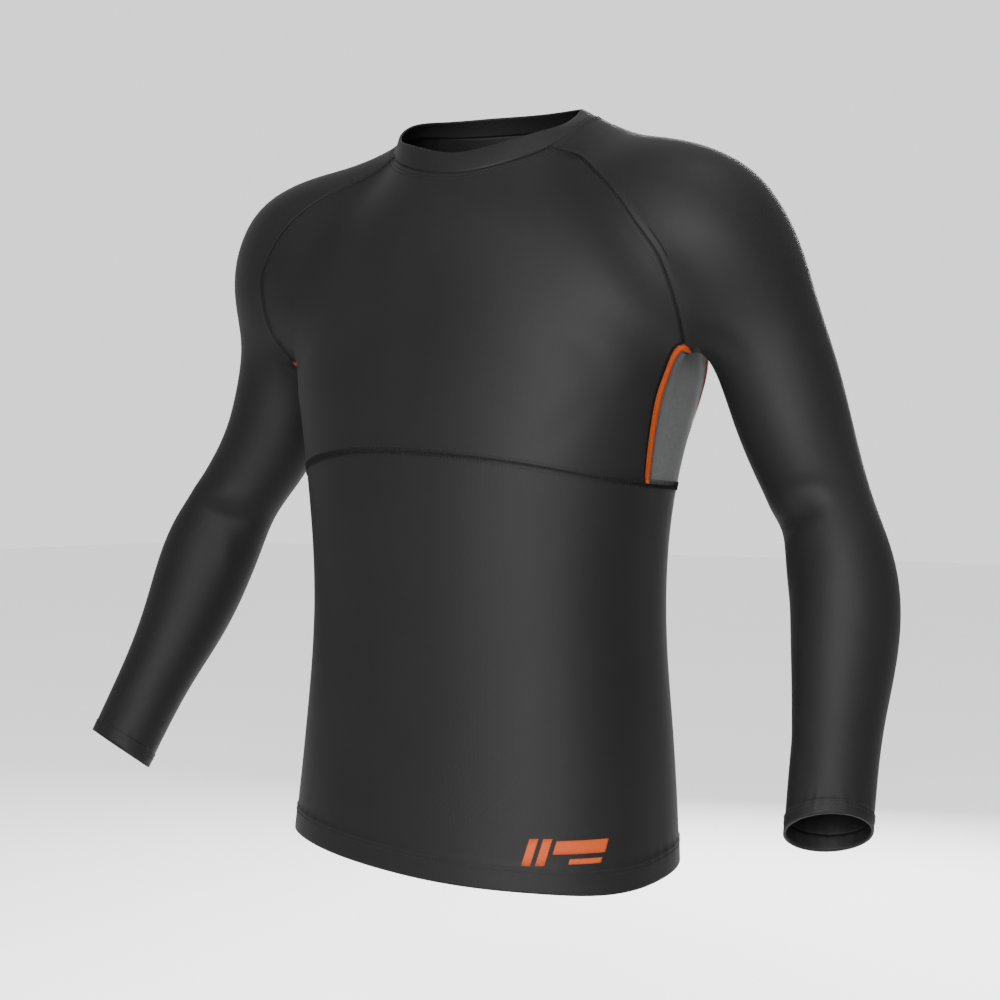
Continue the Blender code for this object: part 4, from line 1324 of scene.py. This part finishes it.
def stitch_tree():
    """Geometry nodes that set stitches end to end along loose edges."""
    tree, given, curve = new_tree("Stitch run", (PITCH_INPUT, RADIUS_INPUT))
    steps, ball, run, turn, half, size, place = (tree.nodes.new(kind) for kind in (
        "GeometryNodeResampleCurve", "GeometryNodeMeshUVSphere", "GeometryNodeInputTangent",
        "FunctionNodeAlignRotationToVector", "ShaderNodeMath", "ShaderNodeCombineXYZ",
        "GeometryNodeInstanceOnPoints"))
    steps.mode = "LENGTH"
    set_inputs(ball, {"Segments": STITCH_SIDES, "Rings": STITCH_RINGS, "Radius": 1.0})
    turn.axis = "Z"
    half.operation = "MULTIPLY"
    half.inputs[1].default_value = STITCH_HALF_SHARE
    wired(
        tree, (curve, steps.inputs["Curve"]), (given["Pitch"], steps.inputs["Length"]),
        (run.outputs[0], turn.inputs["Vector"]), (given["Pitch"], half.inputs[0]),
        (given["Thread radius"], size.inputs["X"]), (given["Thread radius"], size.inputs["Y"]),
        (half.outputs[0], size.inputs["Z"]), (steps.outputs["Curve"], place.inputs["Points"]),
        (ball.outputs["Mesh"], place.inputs["Instance"]),
        (turn.outputs["Rotation"], place.inputs["Rotation"]),
        (size.outputs["Vector"], place.inputs["Scale"]))
    return end_of_tree(tree, place.outputs["Instances"], given["Material"])


def thread_tree():
    """Geometry nodes that run a round thread along loose edges."""
    tree, given, curve = new_tree("Thread", (RADIUS_INPUT,))
    circle = tree.nodes.new("GeometryNodeCurvePrimitiveCircle")
    circle.inputs["Resolution"].default_value = THREAD_SIDES
    sweep = tree.nodes.new("GeometryNodeCurveToMesh")
    sweep.inputs["Fill Caps"].default_value = True
    wired(
        tree, (given["Thread radius"], circle.inputs["Radius"]), (curve, sweep.inputs["Curve"]),
        (circle.outputs["Curve"], sweep.inputs["Profile Curve"]))
    return end_of_tree(tree, sweep.outputs["Mesh"], given["Material"])


def grown(name, lines, tree, values, material):
    """A plain mesh piece grown by a node tree along lines."""
    seed = bpy.data.objects.new(name + "_line", lines_mesh(name + "_line", lines))
    bpy.context.scene.collection.objects.link(seed)
    maker = seed.modifiers.new("grow", "NODES")
    maker.node_group = tree
    inputs = [item for item in tree.interface.items_tree if item.in_out == "INPUT"]
    sockets = {item.name: item.identifier for item in inputs}
    for key, value in values.items():
        maker[sockets[key]] = value
    maker[sockets["Material"]] = material
    bpy.context.view_layer.update()
    ready = seed.evaluated_get(bpy.context.evaluated_depsgraph_get())
    mesh = bpy.data.meshes.new_from_object(ready)
    mesh.name = name
    bpy.data.objects.remove(seed, do_unlink=True)
    if len(mesh.polygons) == 0:
        raise RuntimeError(name + " has no faces")
    return add_piece(name, mesh, material)


def colour_setting(name, description, default):
    return FloatVectorProperty(
        name=name, description=description, subtype="COLOR", size=3, min=0, max=1, default=default)


def length_setting(name, description, low, high, default):
    return FloatProperty(
        name=name, description=description, subtype="DISTANCE", unit="LENGTH", min=low, max=high,
        default=default)


def strength_setting(name, description):
    return FloatProperty(
        name=name, description=description + ", 1 as set by hand", min=0, max=2, default=1.0)


class ShirtSettings(PropertyGroup):
    """Sizes and colours of the shirt."""

    body_colour: colour_setting("Body colour", "Colour of the main knit", (0.0021, 0.0021, 0.0022))
    panel_colour: colour_setting(
        "Panel colour", "Colour of the heather side panels", (0.0150, 0.0152, 0.0154))
    tape_colour: colour_setting(
        "Tape colour", "Colour of the piping around the side panels", (0.095, 0.0120, 0.0002))
    thread_colour: colour_setting(
        "Thread colour", "Colour of the sewing thread", (0.0020, 0.0020, 0.0021))
    knit_pitch: length_setting(
        "Knit pitch", "Width of one column of knit", 0.0004, 0.004, 0.0011)
    stitch_pitch: length_setting(
        "Stitch pitch", "Length from one hem stitch to the next", 0.001, 0.01, 0.0032)
    thread_radius: length_setting(
        "Thread radius", "Radius of the sewing thread", 0.0001, 0.001, 0.00038)
    fold_strength: strength_setting("Fold strength", "Depth of the soft folds")
    seam_strength: strength_setting("Seam strength", "Height of the flat seams")


def settings():
    return bpy.context.scene.shirt_settings


def fold_strength():
    return settings().fold_strength


SHIRT = []


def shirt():
    """The seam lines and fine grids, made once."""
    if not SHIRT:
        SHIRT.append(Shirt())
    return SHIRT[0]


def black_cloth():
    return shared("Black knit", smooth_knit, tuple(settings().body_colour), settings().knit_pitch)


def grey_cloth():
    pitch = settings().knit_pitch * HEATHER_PITCH_SHARE
    return shared("Grey heather", heather_mesh, tuple(settings().panel_colour), pitch)


def orange_cloth():
    return shared("Orange tape", tape_knit, tuple(settings().tape_colour), TAPE_PITCH)


def ink():
    return shared("Orange print", twisted_thread, tuple(settings().tape_colour))


def thread():
    return shared("Thread", twisted_thread, tuple(settings().thread_colour))


def pucker(points, line, pitch):
    """Small even waves of a stitched turning, fading away from its stitch line."""
    flat = points.reshape(-1, 3)
    gap = away_from(points, line)
    turn = np.arctan2(flat[:, 0] - line[:, 0].mean(), line[:, 1].mean() - flat[:, 1])
    around = chord_knots(line)[-1]
    waves = round(around / pitch)
    sway, sway_turns = PUCKER_SWAY
    even, uneven, fade_turns = PUCKER_FADE
    wave = np.sin(turn * waves + sway * np.sin(turn * sway_turns))
    wave = wave * (even + uneven * np.sin(turn * fade_turns + 1))
    return PUCKER_RISE * wave.reshape(gap.shape) * np.exp(-(gap / PUCKER_REACH) ** 2)


def turned_rise(count, turn_rows, edge_rows):
    """Height of each row where the edge is turned up: a soft step, then even."""
    rise = np.zeros(count)
    rise[count - edge_rows:] = TURNED_STEP
    start = count - edge_rows - turn_rows
    rise[start:count - edge_rows] = TURNED_STEP * smooth_step(np.arange(turn_rows) / turn_rows)
    return rise


def lift_of(grid, lines, rows=None):
    """Height of a piece above the figure: folds, seam bands and the turned edge."""
    lift = fold_height(grid, all_folds(), fold_strength())
    near = np.full(grid.shape[:2], FAR)
    for line in lines:
        near = np.minimum(near, away_from(grid, line))
    lift = lift + seam_height(near) * settings().seam_strength
    if rows is not None:
        lift = lift + rows[:, None]
    return lift


def turned_tube(name, grid, lines, turn_rows, edge_rows, waves, node):
    """A ring of black cloth whose last rows are turned up, with puckers along the stitch line."""
    rows = turned_rise(len(grid), turn_rows, edge_rows)
    lift = lift_of(grid, lines, rows) + pucker(grid, *waves)
    wall = np.full(grid.shape[:2], CLOTH)
    wall[-edge_rows:] = CLOTH + TURNED_STEP * 2
    return clothe(
        name, grid, lift, black_cloth(), node, ring=True, wall=wall,
        edges=("bottom",))


class SHIRT_OT_body(Operator):
    """Dress the chest, the upper back and the tube below the chest seam"""
    bl_idname = "shirt.body"
    bl_label = "Body"

    def execute(self, context):
        made = shirt()
        lines = made.seam_lines()
        chest, back = (
            clothe(name, grid, lift_of(grid, lines), black_cloth(), node)
            for name, grid, node in (
                ("chest_cloth", made.chest, "chest_front"),
                ("back_cloth", made.back, "upper_back")))
        lower = turned_tube(
            "lower_body_cloth", made.lower, lines, 1, HEM_ROWS, (made.hem_line, HEM_WAVE),
            "lower_body")
        return {"FINISHED"}


class SHIRT_OT_sleeves(Operator):
    """Dress both sleeves from the neck and armhole to the cuff"""
    bl_idname = "shirt.sleeves"
    bl_label = "Sleeves"

    def execute(self, context):
        made = shirt()
        lines = made.seam_lines()
        for name, grid in zip(("left", "right"), made.sleeves):
            sleeve = turned_tube(
                "sleeve_cloth_" + name, grid, lines, FINER_ROWS, FINER_ROWS + 1,
                (grid[-FINER_ROWS - 1], CUFF_WAVE), "sleeve_" + name)
        return {"FINISHED"}


class SHIRT_OT_sides(Operator):
    """Dress the arched side panels and the piping around them"""
    bl_idname = "shirt.sides"
    bl_label = "Side panels and piping"

    def execute(self, context):
        made = shirt()
        lower_seam = made.seam_lines()[-1:]
        for name, side in (("left", made.left), ("right", made.right)):
            grid = side.panel(made.panel_angles)
            rows, columns = len(grid) - 1, STEPS_PANEL_WIDE
            grid = settled(finer_both(grid, [0, rows], [0, columns], FINER_SIDE, FINER_SIDE))
            grid = side.turned(grid)
            panel = clothe(
                "side_panel_cloth_" + name, grid, lift_of(grid, lower_seam), grey_cloth(),
                "side_panel_" + name)
            share = np.linspace(0, 1, PIPING_LINES)
            joins = [0, STEPS_ARCH_SIDE, STEPS_ARCH_SIDE + STEPS_ARCH_TOP, len(side.outer) - 1]
            inner = finer(side.inner[:, None], [0, len(side.inner) - 1], FINER_SIDE)[:, 0]
            outer = finer(side.outer[:, None], joins, FINER_SIDE)[:, 0]
            strip = settled(inner[None] + (outer - inner)[None] * share[:, None, None])
            strip = side.turned(strip)
            proud = PIPING_PROUD * (1 - (2 * share - 1) ** PIPING_ROUND)
            tape = clothe(
                "piping_" + name, strip, lift_of(strip, lower_seam, proud), orange_cloth(),
                "side_piping_" + name)
        return {"FINISHED"}


class SHIRT_OT_neckband(Operator):
    """Dress the neck band with its rounded top edge"""
    bl_idname = "shirt.neckband"
    bl_label = "Neck band"

    def execute(self, context):
        angles = np.linspace(0, 360, BAND_STEPS, endpoint=False)
        seam = neck_ring(angles)
        edge = neck_edge(angles)
        rise = unit(edge - seam)
        face = unit(np.cross(run_of(seam, True), rise))
        away = np.column_stack([seam[:, :2], np.zeros(len(seam))])
        face = face * np.sign((face * away).sum(1))[:, None]
        foot = seam + rise * SEAM_GAP / 2
        lift = fold_height(seam, all_folds(), fold_strength())
        half = BAND_WALL / 2
        outer, inner = [], []
        for share in BAND_ROWS:
            closing = max(0.0, 1 - (1 - share) * BAND_HEIGHT / half)
            inward = half * (1 - math.sqrt(max(0.0, 1 - closing ** 2))) * BAND_CLOSED
            bulge = BAND_BULGE * math.sin(math.pi * share)
            proud = bulge + lift * (1 - share) ** 2
            middle = foot + (edge - foot) * share + face * proud[:, None]
            outer.append(middle - face * inward)
            inner.append(middle - face * (BAND_WALL - inward))
        mesh = cloth_mesh("neckband_cloth", np.array(outer), np.array(inner), True)
        band = add_piece("neckband_cloth", mesh, black_cloth(), "neckband")
        return {"FINISHED"}


class SHIRT_OT_stitching(Operator):
    """Sew the seams, the hem, the cuffs and the neck"""
    bl_idname = "shirt.stitching"
    bl_label = "Stitching"

    def execute(self, context):
        made = shirt()
        folds = all_folds()
        radius = settings().thread_radius
        pitch = settings().stitch_pitch
        runs = stitch_tree()
        cords = thread_tree()
        on_seam = SEAM_RISE * settings().seam_strength + radius * SEAM_STITCH_SUNK
        on_cloth = radius * STITCH_SUNK
        sew = {"Pitch": pitch, "Thread radius": radius}
        lay = {"Thread radius": radius * LADDER_THREAD}

        def hemmed(line, stitch_line, wave):
            height = TURNED_STEP + pucker(line, stitch_line, wave) + on_cloth
            return closed_line(raised(line, folds, height))

        rows = []
        for below in HEM_STITCHES:
            rows.append(hemmed(lower_of(made.hem_line, below), made.hem_line, HEM_WAVE))
        grown("hem_stitches", rows, runs, sew, thread())

        rows = []
        for grid in made.sleeves:
            for row in CUFF_STITCH_ROWS:
                low = math.floor(row)
                line = settled(grid[low] * (1 - row + low) + grid[low + 1] * (row - low))
                rows.append(hemmed(line, grid[-FINER_ROWS - 1], CUFF_WAVE))
        grown("cuff_stitches", rows, runs, sew, thread())

        rows = []
        for below in NECK_STITCHES:
            rows.append(closed_line(raised(lower_of(made.neck_line, below), folds, on_cloth)))
        grown("neck_stitches", rows, runs, sew, thread())

        rows, ladders = [], []
        for line in made.seam_lines()[:-1]:
            for side in (-1, 1):
                edge = beside_line(line, side * RAGLAN_SEW_HALF, False)
                rows.append(raised(edge, folds, on_seam))
            ladder = zigzag(line, RAGLAN_SEW_HALF, LADDER_PITCH, False)
            ladders.append(raised(ladder, folds, on_seam))
        grown("raglan_stitches", rows, runs, sew, thread())
        grown("raglan_ladder", ladders, cords, lay, thread())

        rows = []
        for side in (-1, 1):
            edge = beside_line(made.seam_line, side * SEAM_HALF, True)
            rows.append(closed_line(raised(edge, folds, on_seam)))
        ladder = zigzag(made.seam_line, SEAM_HALF, LADDER_PITCH, True)
        grown("chest_seam_stitches", rows, runs, sew, thread())
        grown("chest_seam_ladder", [raised(ladder, folds, on_seam)], cords, lay, thread())

        ladders = []
        for side in (made.left, made.right):
            for line in (side.outer, side.inner):
                line = settled(side.turned(evenly(line, PIPING_LADDER_STEPS)))
                edge = zigzag(line, PIPING_SEW_HALF, LADDER_PITCH, False)
                ladders.append(raised(edge, folds, PIPING_PROUD + radius * PIPING_STITCH_SUNK))
        grown("piping_ladder", ladders, cords, lay, thread())
        return {"FINISHED"}


class SHIRT_OT_print(Operator):
    """Print a plain pattern of bars by the hem"""
    bl_idname = "shirt.print"
    bl_label = "Print"

    def execute(self, context):
        for number, (left, right, low, high) in enumerate(PRINT_BARS, 1):
            up = np.linspace(low, high, PRINT_ROWS)[:, None]
            columns = PRINT_ROWS + int((right - left) * PRINT_COLUMNS)
            across = np.linspace(left, right, columns)[None]
            angles = PRINT_ANGLE + PRINT_TURN * (across + PRINT_SLANT * up)
            heights = (PRINT_BASE + PRINT_TALL * up) * np.ones(angles.shape)
            grid = body_points(angles.ravel(), heights.ravel()).reshape(*angles.shape, 3)
            lift = lift_of(grid, ()) + PRINT_LIFT
            clothe(
                "print_bar_%d" % number, grid, lift, ink(), None, wall=PRINT_THICK,
                edges=())
        return {"FINISHED"}


class SHIRT_OT_stage(Operator):
    """Set the floor, the soft lights and the camera"""
    bl_idname = "shirt.stage"
    bl_label = "Stage"

    def execute(self, context):
        scene = context.scene
        mesh = bpy.data.meshes.new("floor")
        w = FLOOR_HALF
        corners = [(-w, -w, FLOOR_Z), (w, -w, FLOOR_Z), (w, w, FLOOR_Z), (-w, w, FLOOR_Z)]
        mesh.from_pydata(corners, [], [(0, 1, 2, 3)])
        floor = bpy.data.objects.new("floor", mesh)
        scene.collection.objects.link(floor)
        mesh.materials.append(plain("Pale floor", FLOOR_COLOUR, FLOOR_ROUGH))

        right = Vector((math.cos(CAMERA_TURN), math.sin(CAMERA_TURN), 0))
        level = math.cos(CAMERA_RISE)
        back = Vector((
            math.sin(CAMERA_TURN) * level, -math.cos(CAMERA_TURN) * level, math.sin(CAMERA_RISE)))
        target = right * CAMERA_SIDE + Vector((0, 0, CAMERA_HEIGHT))
        for name, across, up, out, size, watts in LIGHTS:
            lamp = bpy.data.lights.new(name, "AREA")
            lamp.shape = "DISK"
            lamp.size = size
            lamp.energy = watts
            light = bpy.data.objects.new(name, lamp)
            scene.collection.objects.link(light)
            light.location = target + right * across + back * out + Vector((0, 0, up))
            light.rotation_mode = "QUATERNION"
            light.rotation_quaternion = (target - light.location).to_track_quat("-Z", "Y")

        lens = bpy.data.cameras.new("camera")
        lens.lens = CAMERA_LENS
        lens.sensor_width = CAMERA_SENSOR
        lens.clip_start, lens.clip_end = CAMERA_CLIP
        camera = bpy.data.objects.new("camera", lens)
        scene.collection.objects.link(camera)
        camera.location = target + back * CAMERA_DISTANCE
        camera.rotation_mode = "QUATERNION"
        camera.rotation_quaternion = (-back).to_track_quat("-Z", "Y")
        scene.camera = camera

        world = bpy.data.worlds.new("Pale studio")
        world.use_nodes = True
        sky = world.node_tree.nodes["Background"]
        sky.inputs["Color"].default_value = (1.0, 1.0, 1.0, 1.0)
        sky.inputs["Strength"].default_value = WORLD_STRENGTH
        scene.world = world
        return {"FINISHED"}


class SHIRT_PT_panel(Panel):
    """Sizes, colours and steps of the shirt"""
    bl_idname = "SHIRT_PT_panel"
    bl_label = "Compression shirt"
    bl_space_type = "VIEW_3D"
    bl_region_type = "UI"
    bl_category = "Shirt"

    def draw(self, context):
        layout = self.layout
        for name in ShirtSettings.__annotations__:
            layout.prop(context.scene.shirt_settings, name)
        for step in STEPS:
            layout.operator(step.bl_idname)


STEPS = (
    SHIRT_OT_body, SHIRT_OT_sleeves, SHIRT_OT_sides, SHIRT_OT_neckband, SHIRT_OT_stitching,
    SHIRT_OT_print, SHIRT_OT_stage)
CLASSES = (ShirtSettings, *STEPS, SHIRT_PT_panel)


def register():
    for cls in CLASSES:
        bpy.utils.register_class(cls)
    bpy.types.Scene.shirt_settings = PointerProperty(type=ShirtSettings)


def unregister():
    del bpy.types.Scene.shirt_settings
    for cls in reversed(CLASSES):
        bpy.utils.unregister_class(cls)


def main():
    register()
    for step in STEPS:
        getattr(bpy.ops.shirt, step.bl_idname.split(".")[1])()


if __name__ == "__main__":
    main()
